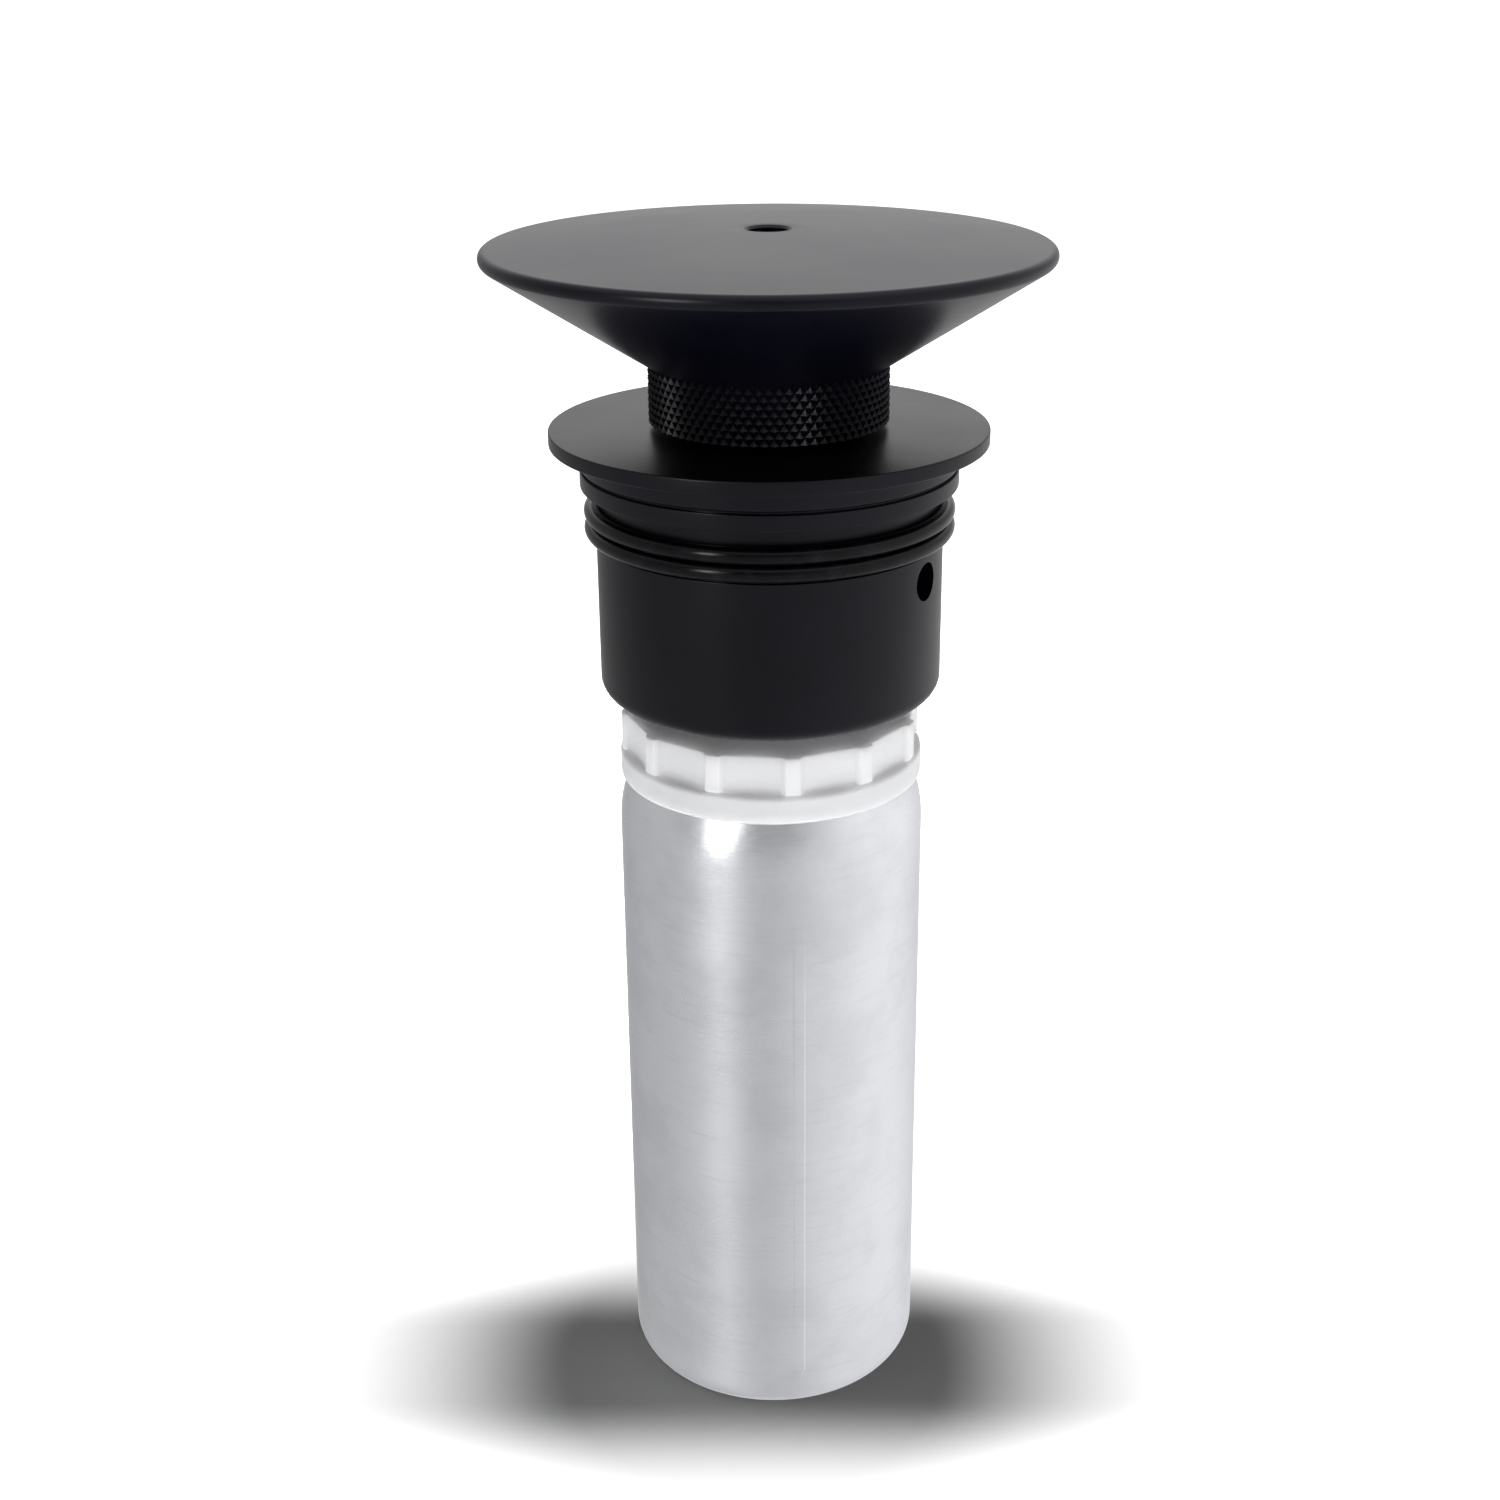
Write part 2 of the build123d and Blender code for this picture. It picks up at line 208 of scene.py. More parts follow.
def carve(bm, tools, operation="DIFFERENCE"):
    """bmesh after each tool is cut out of it, or joined to it."""
    work = bpy.data.meshes.new("work")
    bm.to_mesh(work)
    bm.free()
    host = bpy.data.objects.new("work", work)
    bpy.context.scene.collection.objects.link(host)
    for tool in tools:
        cutter_mesh = bpy.data.meshes.new("cutter")
        bmesh.ops.recalc_face_normals(tool, faces=tool.faces)
        tool.to_mesh(cutter_mesh)
        tool.free()
        cutter = bpy.data.objects.new("cutter", cutter_mesh)
        bpy.context.scene.collection.objects.link(cutter)
        modifier = host.modifiers.new("cut", "BOOLEAN")
        modifier.operation = operation
        modifier.solver = "EXACT"
        modifier.object = cutter
        bpy.context.view_layer.update()
        evaluated = host.evaluated_get(bpy.context.evaluated_depsgraph_get())
        result = bpy.data.meshes.new_from_object(evaluated)
        host.modifiers.clear()
        host.data = result
        bpy.data.objects.remove(cutter)
    done = bmesh.new()
    done.from_mesh(host.data)
    bpy.data.objects.remove(host)
    return done


def outward(azimuth, radius, height):
    """Point at a radius and height; azimuth in degrees from -Y towards +X."""
    return Vector(turned(radius, math.radians(azimuth), height))


# ---------------------------------------------------------------------------------
# Materials
# ---------------------------------------------------------------------------------
class Nodes:
    """A node tree under construction, emptied first."""

    def __init__(self, tree):
        self.tree = tree
        self.tree.nodes.clear()

    def node(self, kind, **settings):
        made = self.tree.nodes.new(kind)
        for key, value in settings.items():
            setattr(made, key, value)
        return made

    def link(self, source, target):
        self.tree.links.new(source, target)

    def split(self, vector):
        """X, Y and Z of a vector."""
        made = self.node("ShaderNodeSeparateXYZ")
        self.link(vector, made.inputs["Vector"])
        return made.outputs["X"], made.outputs["Y"], made.outputs["Z"]

    def ranged(self, value, low, high, new_low, new_high):
        """new_low below low, new_high above high and a smooth step between them."""
        made = self.node("ShaderNodeMapRange", interpolation_type="SMOOTHSTEP")
        made.inputs["From Min"].default_value = low
        made.inputs["From Max"].default_value = high
        made.inputs["To Min"].default_value = new_low
        made.inputs["To Max"].default_value = new_high
        self.link(value, made.inputs["Value"])
        return made.outputs["Result"]

    def math(self, operation, *values):
        """Result of a calculation with one or two numbers or sockets."""
        made = self.node("ShaderNodeMath", operation=operation)
        for socket, value in zip(made.inputs, values):
            if isinstance(value, (int, float)):
                socket.default_value = value
            else:
                self.link(value, socket)
        return made.outputs["Value"]


class Finish(Nodes):
    """A material under construction, with its surface shader."""

    def __init__(self, name, colour, roughness, metallic=0.0, ior=1.45):
        self.material = bpy.data.materials.new(name)
        self.material.use_nodes = True
        super().__init__(self.material.node_tree)
        self.shader = self.node("ShaderNodeBsdfPrincipled")
        output = self.node("ShaderNodeOutputMaterial")
        self.link(self.shader.outputs["BSDF"], output.inputs["Surface"])
        self.shader.inputs["Base Color"].default_value = (*colour, 1.0)
        self.shader.inputs["Roughness"].default_value = roughness
        self.shader.inputs["Metallic"].default_value = metallic
        self.shader.inputs["IOR"].default_value = ior
        self.place = self.node("ShaderNodeTexCoord").outputs["Object"]
        self.normal = None

    def stretched(self, scale):
        """Object coordinates multiplied by a scale along each axis."""
        mapping = self.node("ShaderNodeMapping")
        mapping.inputs["Scale"].default_value = scale
        self.link(self.place, mapping.inputs["Vector"])
        return mapping.outputs["Vector"]

    def noise(self, scale, detail=3.0, rough=0.55, stretch_by=(1.0, 1.0, 1.0)):
        """Noise from 0 to 1, with its scale in cells per metre."""
        made = self.node("ShaderNodeTexNoise")
        made.inputs["Scale"].default_value = scale
        made.inputs["Detail"].default_value = detail
        made.inputs["Roughness"].default_value = rough
        self.link(self.stretched(stretch_by), made.inputs["Vector"])
        return made.outputs["Fac"]

    def cells(self, scale):
        """Distance to the nearest cell centre, with its scale in cells per metre."""
        made = self.node("ShaderNodeTexVoronoi")
        made.inputs["Scale"].default_value = scale
        self.link(self.place, made.inputs["Vector"])
        return made.outputs["Distance"]

    def radius(self):
        """Distance from the object's axis, in metres."""
        x, y, z = self.split(self.place)
        joined = self.node("ShaderNodeCombineXYZ")
        self.link(x, joined.inputs["X"])
        self.link(y, joined.inputs["Y"])
        length = self.node("ShaderNodeVectorMath", operation="LENGTH")
        self.link(joined.outputs["Vector"], length.inputs[0])
        return length.outputs["Value"]

    def rings(self, pitch, detail=2.0):
        """Noise that changes with the radius and the height only, as lathe marks do."""
        joined = self.node("ShaderNodeCombineXYZ")
        self.link(self.radius(), joined.inputs["X"])
        self.link(self.split(self.place)[2], joined.inputs["Y"])
        made = self.node("ShaderNodeTexNoise")
        made.inputs["Scale"].default_value = 1 / pitch
        made.inputs["Detail"].default_value = detail
        self.link(joined.outputs["Vector"], made.inputs["Vector"])
        return made.outputs["Fac"]

    def blended(self, share, first, second):
        """Colour between two colours."""
        made = self.node("ShaderNodeMix", data_type="RGBA")
        if isinstance(first, tuple):
            made.inputs["A"].default_value = (*first, 1.0)
        else:
            self.link(first, made.inputs["A"])
        made.inputs["B"].default_value = (*second, 1.0)
        self.link(share, made.inputs["Factor"])
        return made.outputs["Result"]

    def colour(self, value):
        self.link(value, self.shader.inputs["Base Color"])

    def mottled(self, pattern, low, high, share, first, second):
        """Base colour: the first one, and up to a share of the second where the pattern is high."""
        self.colour(self.blended(self.ranged(pattern, low, high, 0.0, share), first, second))

    def roughness(self, value):
        self.link(value, self.shader.inputs["Roughness"])

    def bump(self, height, distance, strength=1.0):
        """Adds a bump whose full height is distance metres."""
        made = self.node("ShaderNodeBump")
        made.inputs["Distance"].default_value = distance
        made.inputs["Strength"].default_value = strength
        self.link(height, made.inputs["Height"])
        if self.normal is not None:
            self.link(self.normal, made.inputs["Normal"])
        self.normal = made.outputs["Normal"]
        self.link(self.normal, self.shader.inputs["Normal"])


# Brushing round the flask spreads its highlights up and down.
BRUSHED_ANISOTROPY = 0.65
QUARTER_TURN = 0.25


def bare_aluminium(settings):
    """Drawn aluminium with fine brushing round the flask and faint clouding."""
    f = Finish("bare_aluminium", settings.colour, settings.roughness, metallic=1.0)
    f.shader.inputs["Anisotropic"].default_value = BRUSHED_ANISOTROPY
    f.shader.inputs["Anisotropic Rotation"].default_value = QUARTER_TURN
    fine = f.noise(400, 4.0, 0.7, stretch_by=(1.0, 1.0, 14.0))
    coarse = f.noise(90, 3.0, 0.6, stretch_by=(1.0, 1.0, 12.0))
    cloud = f.noise(55, 4.0, 0.6)
    smudge = f.noise(18, 3.0, 0.55, stretch_by=(1.0, 1.0, 1.6))
    clouded = tuple(0.86 * c for c in settings.colour)
    scored = tuple(0.8 * c for c in settings.colour)
    clean = f.blended(f.ranged(cloud, 0.42, 0.68, 0.0, 0.55), tuple(settings.colour), clouded)
    f.mottled(coarse, 0.5, 0.8, 0.35, clean, scored)
    worn = f.ranged(smudge, 0.35, 0.7, settings.roughness - 0.05, settings.roughness + 0.09)
    f.roughness(f.math("ADD", worn, f.ranged(fine, 0.35, 0.7, -0.04, 0.05)))
    f.bump(fine, settings.brushing * MM)
    f.bump(coarse, settings.brushing * MM)
    return f.material


def black_anodised(name, settings, edge_radius=None):
    """Satin black anodised aluminium with faint lathe marks; crests at edge_radius are worn paler."""
    f = Finish(name, settings.colour, settings.roughness, ior=settings.ior)
    marks = f.rings(0.35 * MM)
    broad = f.noise(45, 3.0, 0.6)
    grain = f.noise(5200, 2.0, 0.6)
    base = f.blended(f.ranged(broad, 0.35, 0.7, 0.0, 1.0), tuple(settings.colour), settings.bloom)
    if edge_radius:
        crest = f.ranged(f.radius(), edge_radius - 0.16 * MM, edge_radius - 0.02 * MM, 0.0, 0.6)
        patch = f.ranged(f.noise(300, 3.0, 0.6), 0.4, 0.65, 0.2, 1.0)
        base = f.blended(f.math("MULTIPLY", crest, patch), base, (0.055, 0.055, 0.06))
    f.colour(base)
    f.roughness(f.ranged(broad, 0.3, 0.7, settings.roughness - 0.01, settings.roughness + 0.015))
    f.bump(marks, 0.004 * MM)
    f.bump(grain, 0.004 * MM)
    return f.material


def white_plastic(settings):
    """Moulded white polyethylene, slightly translucent, with a faint flow pattern."""
    f = Finish("white_plastic", settings.colour, 0.42, ior=1.5)
    f.shader.inputs["Subsurface Weight"].default_value = 0.9
    f.shader.inputs["Subsurface Radius"].default_value = (1.0, 0.97, 0.95)
    f.shader.inputs["Subsurface Scale"].default_value = 6.0 * MM
    flow = f.noise(70, 4.0, 0.6)
    speck = f.noise(1400, 2.0, 0.4)
    tinted = f.blended(f.ranged(flow, 0.4, 0.75, 0.0, 0.5), tuple(settings.colour), settings.shade)
    f.mottled(speck, 0.72, 0.78, 0.4, tinted, (0.42, 0.41, 0.40))
    f.roughness(f.ranged(flow, 0.3, 0.7, 0.36, 0.48))
    f.bump(f.noise(2400, 3.0, 0.6), 0.012 * MM)
    f.bump(flow, 0.05 * MM)
    return f.material


def black_rubber():
    """Smooth moulded nitrile with a trace of bloom."""
    f = Finish("black_rubber", (0.003, 0.003, 0.004), 0.2, ior=1.25)
    bloom = f.noise(220, 4.0, 0.65)
    f.mottled(bloom, 0.45, 0.75, 1.0, (0.002, 0.002, 0.003), (0.006, 0.006, 0.008))
    f.roughness(f.ranged(bloom, 0.35, 0.7, 0.17, 0.25))
    f.bump(f.noise(2600, 2.0, 0.6), 0.006 * MM)
    return f.material


def inner_steel():
    """Spun stainless steel with rings from the spinning tool."""
    f = Finish("inner_steel", (0.56, 0.57, 0.58), 0.24, metallic=1.0)
    marks = f.rings(0.5 * MM)
    f.mottled(marks, 0.35, 0.7, 0.4, (0.56, 0.57, 0.58), (0.44, 0.44, 0.45))
    f.roughness(f.ranged(f.noise(60, 3.0, 0.6), 0.3, 0.7, 0.18, 0.32))
    f.bump(marks, 0.012 * MM)
    return f.material


def screw_steel():
    """Turned stainless steel fasteners."""
    f = Finish("screw_steel", (0.60, 0.60, 0.61), 0.22, metallic=1.0)
    marks = f.rings(0.2 * MM)
    f.roughness(f.ranged(marks, 0.3, 0.7, 0.16, 0.32))
    f.mottled(f.noise(500), 0.5, 0.75, 0.5, (0.60, 0.60, 0.61), (0.47, 0.46, 0.45))
    f.bump(marks, 0.006 * MM)
    return f.material


def glass_laminate():
    """Amber-green epoxy glass laminate, with the weave of its cloth just showing."""
    f = Finish("glass_laminate", (0.50, 0.44, 0.20), 0.36, ior=1.52)
    warp = f.noise(900, 1.0, 0.5, stretch_by=(1.0, 1.0, 0.15))
    weft = f.noise(900, 1.0, 0.5, stretch_by=(0.15, 0.15, 1.0))
    weave = f.math("MAXIMUM", warp, weft)
    f.mottled(weave, 0.45, 0.7, 1.0, (0.50, 0.44, 0.20), (0.66, 0.60, 0.36))
    f.roughness(f.ranged(weave, 0.4, 0.7, 0.30, 0.48))
    f.bump(weave, 0.03 * MM)
    return f.material


def foil_insulation():
    """Crinkled aluminised film."""
    f = Finish("foil_insulation", (0.80, 0.80, 0.82), 0.18, metallic=1.0)
    crease = f.cells(160)
    f.mottled(crease, 0.2, 0.8, 0.5, (0.80, 0.80, 0.82), (0.62, 0.62, 0.65))
    f.roughness(f.ranged(f.noise(200), 0.3, 0.7, 0.12, 0.28))
    f.bump(crease, 0.5 * MM)
    return f.material


def getter_cloth():
    """Woven pouch."""
    f = Finish("getter_cloth", (0.72, 0.70, 0.65), 0.85)
    f.shader.inputs["Sheen Weight"].default_value = 0.2
    warp = f.noise(1500, 1.0, 0.5, stretch_by=(1.0, 0.2, 1.0))
    weft = f.noise(1500, 1.0, 0.5, stretch_by=(0.2, 1.0, 1.0))
    weave = f.math("MAXIMUM", warp, weft)
    f.mottled(weave, 0.4, 0.7, 1.0, (0.60, 0.58, 0.54), (0.80, 0.78, 0.73))
    f.bump(weave, 0.12 * MM)
    return f.material


def turned_ptfe(name, colour):
    """Waxy white fluoropolymer with fine turning rings."""
    f = Finish(name, colour, 0.38, ior=1.38)
    f.shader.inputs["Subsurface Weight"].default_value = 0.3
    f.shader.inputs["Subsurface Scale"].default_value = 1.5 * MM
    marks = f.rings(0.3 * MM)
    f.mottled(marks, 0.4, 0.7, 0.6, colour, tuple(0.88 * c for c in colour))
    f.roughness(f.ranged(f.noise(120), 0.3, 0.7, 0.32, 0.46))
    f.bump(marks, 0.015 * MM)
    return f.material


def insulating_foam():
    """Closed-cell foam with a fine open skin."""
    f = Finish("insulating_foam", (0.83, 0.76, 0.55), 0.82)
    f.shader.inputs["Subsurface Weight"].default_value = 0.15
    f.shader.inputs["Subsurface Scale"].default_value = 1.0 * MM
    pores = f.cells(1500)
    stain = f.noise(60, 3.0, 0.6)
    f.mottled(stain, 0.4, 0.75, 0.6, (0.83, 0.76, 0.55), (0.66, 0.58, 0.38))
    f.bump(pores, 0.22 * MM)
    return f.material


def bearing_bronze():
    """Oiled bearing bronze."""
    f = Finish("bronze", (0.48, 0.30, 0.13), 0.30, metallic=1.0)
    tarnish = f.noise(260, 3.0, 0.6)
    f.mottled(tarnish, 0.4, 0.7, 1.0, (0.52, 0.33, 0.14), (0.30, 0.18, 0.09))
    f.roughness(f.ranged(tarnish, 0.3, 0.7, 0.24, 0.42))
    f.bump(f.rings(0.3 * MM), 0.01 * MM)
    return f.material


def painted(piece, material):
    """Gives every face of an object one material."""
    piece.data.materials.clear()
    piece.data.materials.append(material)
    return piece


# ---------------------------------------------------------------------------------
# Settings that a user would change
# ---------------------------------------------------------------------------------
class FlaskSettings(bpy.types.PropertyGroup):
    """Settings of the flask's bare metal and its pressed strip"""

    colour: FloatVectorProperty(
        name="Metal Colour",
        description="Reflection colour of the bare aluminium",
        subtype="COLOR",
        default=(0.85, 0.862, 0.90),
        min=0.0,
        max=1.0,
    )
    roughness: FloatProperty(
        name="Roughness",
        description="Middle roughness of the brushed metal",
        subtype="FACTOR",
        default=0.34,
        min=0.05,
        max=1.0,
    )
    brushing: FloatProperty(
        name="Brushing",
        description="Height of the brushing marks, in millimetres",
        default=0.03,
        min=0.0,
        max=0.2,
    )
    strip_azimuth: FloatProperty(
        name="Strip Azimuth",
        description="Where the pressed strip is, from the front towards the right, in degrees",
        default=10.0,
    )
    strip_height: FloatProperty(
        name="Strip Height",
        description="How far the pressed strip stands out",
        unit="LENGTH",
        default=0.10 * MM,
    )


class RingSettings(bpy.types.PropertyGroup):
    """Settings of the white screw ring"""

    colour: FloatVectorProperty(
        name="Plastic Colour",
        description="Main colour of the ring",
        subtype="COLOR",
        default=(0.86, 0.86, 0.88),
    )
    shade: FloatVectorProperty(
        name="Flow Colour",
        description="Colour of the faint flow pattern",
        subtype="COLOR",
        default=(0.80, 0.80, 0.83),
    )
    rib_count: IntProperty(
        name="Ribs",
        description="Number of grip ribs",
        default=12,
        min=3,
        max=48,
    )
    rib_width: FloatProperty(
        name="Rib Width",
        description="Width of one rib",
        unit="LENGTH",
        default=3.7 * MM,
    )
    first_rib: FloatProperty(
        name="First Rib",
        description="Azimuth of one rib, from the front towards the right, in degrees",
        default=8.0,
    )


class BlackSettings(bpy.types.PropertyGroup):
    """Settings of the black anodised pieces and of the knurl"""

    colour: FloatVectorProperty(
        name="Anodised Colour",
        description="Body colour of the anodised film",
        subtype="COLOR",
        default=(0.0010, 0.0010, 0.0034),
    )
    bloom: FloatVectorProperty(
        name="Bloom Colour",
        description="Colour where the film is slightly paler",
        subtype="COLOR",
        default=(0.0018, 0.0018, 0.0050),
    )
    roughness: FloatProperty(
        name="Roughness",
        description="Roughness of the satin film",
        subtype="FACTOR",
        default=0.32,
        min=0.05,
        max=1.0,
    )
    ior: FloatProperty(
        name="Film IOR",
        description="Refractive index of the film",
        default=1.30,
        min=1.0,
        max=2.5,
    )
    knurl_count: IntProperty(
        name="Knurls",
        description="Diamonds round the collar",
        default=74,
        min=12,
        max=200,
    )
    knurl_rows: IntProperty(
        name="Knurl Rows",
        description="Rows of diamonds up the collar",
        default=8,
        min=2,
        max=30,
    )
    knurl_depth: FloatProperty(
        name="Knurl Depth",
        description="Depth of the knurl's grooves",
        unit="LENGTH",
        default=0.75 * MM,
    )


class StageSettings(bpy.types.PropertyGroup):
    """Settings of the camera, the floor and the lights"""

    lens: FloatProperty(
        name="Lens",
        description="Focal length",
        subtype="DISTANCE_CAMERA",
        default=51.47,
    )
    distance: FloatProperty(
        name="Distance",
        description="Camera's level distance",
        unit="LENGTH",
        default=432.9 * MM,
    )
    camera_height: FloatProperty(
        name="Height",
        description="Camera's height",
        unit="LENGTH",
        default=327.6 * MM,
    )
    pitch: FloatProperty(
        name="Pitch",
        description="How far the camera looks down",
        subtype="ANGLE",
        default=math.radians(22.18),
    )
    shift: FloatProperty(
        name="Shift",
        description="Sideways lens shift, as a share of the sensor",
        default=-0.01395,
    )
    roll: FloatProperty(
        name="Roll",
        description="Camera's tilt",
        subtype="ANGLE",
        default=math.radians(-0.32),
    )
    floor_colour: FloatVectorProperty(
        name="Floor Colour",
        description="Colour of the plain floor",
        subtype="COLOR",
        default=(0.93, 0.93, 0.93),
    )
    sky_strength: FloatProperty(
        name="Tent Strength",
        description="Strength of the light tent",
        default=1.0,
        min=0.0,
    )
    ceiling: FloatProperty(
        name="Ceiling",
        description="Brightness that the tent's top adds to its walls",
        default=0.45,
        min=0.0,
    )
    overhead_power: FloatProperty(
        name="Overhead Power",
        description="Power of the overhead light, in watts",
        default=13.5,
        min=0.0,
    )
    overhead_size: FloatProperty(
        name="Overhead Size",
        description="Diameter of the overhead light",
        unit="LENGTH",
        default=0.2,
        min=0.01,
    )
    fill_power: FloatProperty(
        name="Fill Power",
        description="Power of each front fill light, in watts",
        default=2.4,
        min=0.0,
    )


# ---------------------------------------------------------------------------------
# Flask
# ---------------------------------------------------------------------------------
FLASK_R = 33.0 * MM
WALL = 1.2 * MM
BASE_ROUND = 6.3 * MM
PORT_R = 3.0 * MM
RECESS_Z = 3.0 * MM
RECESS_R = 19.5 * MM
FOOT_INNER_R = 22.0 * MM
FOOT_OUTER_R = 26.0 * MM
SIDE_TOP_Z = 136.6 * MM
SHOULDER_ROUND = 28.0 * MM
SHOULDER_ANGLE = 25.38
NECK_R = 27.0 * MM
NECK_FOOT_Z = 150.6 * MM
NECK_TOP_Z = high_of("outer_shell")
STRIP_HALF_WIDTH = 1.35 * MM
STRIP_LOW_Z = 10.0 * MM
STRIP_HIGH_Z = 132.0 * MM
STRIP_FADE_Z = 85.0 * MM
STRIP_END_OUTSIDE = 0.3 * MM
STRIP_END_INSIDE = 2.2 * MM
STRIP_STEP = 0.12 * MM
THREAD_PITCH = 4.0 * MM
THREAD_DEPTH = 0.7 * MM


def helix(z, azimuth, pitch):
    """Height of a rounded thread at a point, from 0 at its root to 1 at its crest."""
    return smooth(saw(z / pitch - azimuth / TAU), 0.25, 0.75)


class DEWAR_OT_flask_shell(bpy.types.Operator):
    """Builds the outer shell with its rounded base, shoulder, threaded neck and pressed strip"""

    bl_idname = "dewar.flask_shell"
    bl_label = "Flask Shell"

    def outline(self):
        """Section of the shell, from the evacuation port round the outside and back inside."""
        arc_r = FLASK_R - SHOULDER_ROUND
        foot = rounded(
            [
                (PORT_R, RECESS_Z, 0),
                (RECESS_R, RECESS_Z, 1.2 * MM),
                (FOOT_INNER_R, 0, 0.8 * MM),
                (FOOT_OUTER_R, 0, 0),
            ]
        )
        outer = foot[:-1]
        outer += arc(FLASK_R - BASE_ROUND, BASE_ROUND, BASE_ROUND, -90, 0, 14)
        levels = (
            (STRIP_LOW_Z - STRIP_END_OUTSIDE, 2 * MM),
            (STRIP_LOW_Z + STRIP_END_INSIDE, STRIP_STEP),
            (STRIP_HIGH_Z - STRIP_END_INSIDE, 10 * MM),
            (STRIP_HIGH_Z + STRIP_END_OUTSIDE, STRIP_STEP),
        )
        low_z = BASE_ROUND
        for high_z, step in levels:
            outer += stretch((FLASK_R, low_z), (FLASK_R, high_z), step)
            low_z = high_z
        outer += arc(arc_r, SIDE_TOP_Z, SHOULDER_ROUND, 0, SHOULDER_ANGLE, 16)
        outer += [(NECK_R + 0.3 * MM, NECK_FOOT_Z - 0.1 * MM)]
        outer += [(NECK_R, NECK_FOOT_Z + 0.2 * MM)]
        outer += stretch((NECK_R, NECK_FOOT_Z + 0.2 * MM), (NECK_R, NECK_TOP_Z - 0.3 * MM), 0.22 * MM)
        inner = [(NECK_R - 0.3 * MM, NECK_TOP_Z), (NECK_R - WALL, NECK_TOP_Z)]
        inner += [(NECK_R - WALL, NECK_FOOT_Z - WALL)]
        inner += reversed(arc(arc_r, SIDE_TOP_Z, SHOULDER_ROUND - WALL, 0, SHOULDER_ANGLE, 8))
        inner += reversed(arc(FLASK_R - BASE_ROUND, BASE_ROUND, BASE_ROUND - WALL, -90, 0, 8))
        inner += [(FOOT_INNER_R + WALL, WALL), (RECESS_R + WALL, RECESS_Z + WALL)]
        inner += [(PORT_R, RECESS_Z + WALL)]
        return outer + inner

    def execute(self, context):
        settings = context.scene.dewar_flask
        middle = math.radians(settings.strip_azimuth)
        # Columns every tenth of a degree across the pressed strip, and coarser ones elsewhere.
        fine = [middle + math.radians(0.1 * k) for k in range(-30, 31)]
        coarse = [a for a in even_turn(SHELL_COLUMNS) if abs(a - middle) > math.radians(3.4)]
        azimuths = sorted(fine + coarse)

        def shape(r, z, azimuth):
            """Raises the pressed strip on the side, and cuts the thread into the neck."""
            if abs(r - FLASK_R) < SAME and STRIP_LOW_Z - MM < z < STRIP_HIGH_Z + MM:
                across = FLASK_R * (azimuth - middle)
                end_z = min(max(z, STRIP_LOW_Z + STRIP_HALF_WIDTH), STRIP_HIGH_Z - STRIP_HALF_WIDTH)
                away = math.hypot(across, z - end_z)
                edge = 1 - smooth(away, STRIP_HALF_WIDTH - 0.3 * MM, STRIP_HALF_WIDTH)
                kept = 1 - smooth(z, STRIP_FADE_Z, STRIP_HIGH_Z - 2 * MM)
                return r + settings.strip_height * edge * kept
            if abs(r - NECK_R) < SAME and z > NECK_FOOT_Z + 0.5 * MM:
                # The thread runs out over the last part of each end.
                fade = smooth(z, NECK_FOOT_Z + 0.5 * MM, NECK_FOOT_Z + 2 * MM)
                fade *= 1 - smooth(z, NECK_TOP_Z - 1.6 * MM, NECK_TOP_Z - 0.3 * MM)
                return r - THREAD_DEPTH * (1 - fade * helix(z, azimuth, THREAD_PITCH))
            return r

        bm = lathe([self.outline()], azimuths, shape)
        piece = finished(bm, "flask_shell", "flask", "bare_aluminium", "outer_shell")
        painted(piece, bare_aluminium(settings))
        return {"FINISHED"}


class DEWAR_OT_flask_inside(bpy.types.Operator):
    """Finishes the inner vessel, its neck, the insulation and the small parts of the base"""

    bl_idname = "dewar.flask_inside"
    bl_label = "Flask Inside"

    def execute(self, context):
        steel = inner_steel()
        laminate = glass_laminate()
        rubber = context.scene.dewar_rubber
        for node, material in (
            ("inner_vessel", steel),
            ("evacuation_plug", steel),
            ("neck_tube", laminate),
            ("neck_fitting", laminate),
            ("base_spacer", laminate),
            ("insulation_wrap", foil_insulation()),
            ("getter_sachet", getter_cloth()),
            ("evacuation_seal", rubber),
            ("neck_gasket", turned_ptfe("gasket_plastic", (0.80, 0.79, 0.76))),
        ):
            painted(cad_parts[node], material)
        return {"FINISHED"}


# ---------------------------------------------------------------------------------
# Screw ring
# ---------------------------------------------------------------------------------
RING_LOW_Z = low_of("neck_ring")
RING_TOP_Z = high_of("neck_ring")
BEAD_R = radius_of("neck_ring")
BEAD_TOP_Z = 153.7 * MM
BEAD_SLOPE = 0.4 * MM
FLAT_R = 30.6 * MM
RIB_R = 32.2 * MM
RING_SHOULDER_Z = 162.0 * MM
LIP_BORE_R = 22.4 * MM
RING_BORE_R = 27.25 * MM
SKIRT_BORE_R = 31.25 * MM
SKIRT_TOP_Z = 151.0 * MM


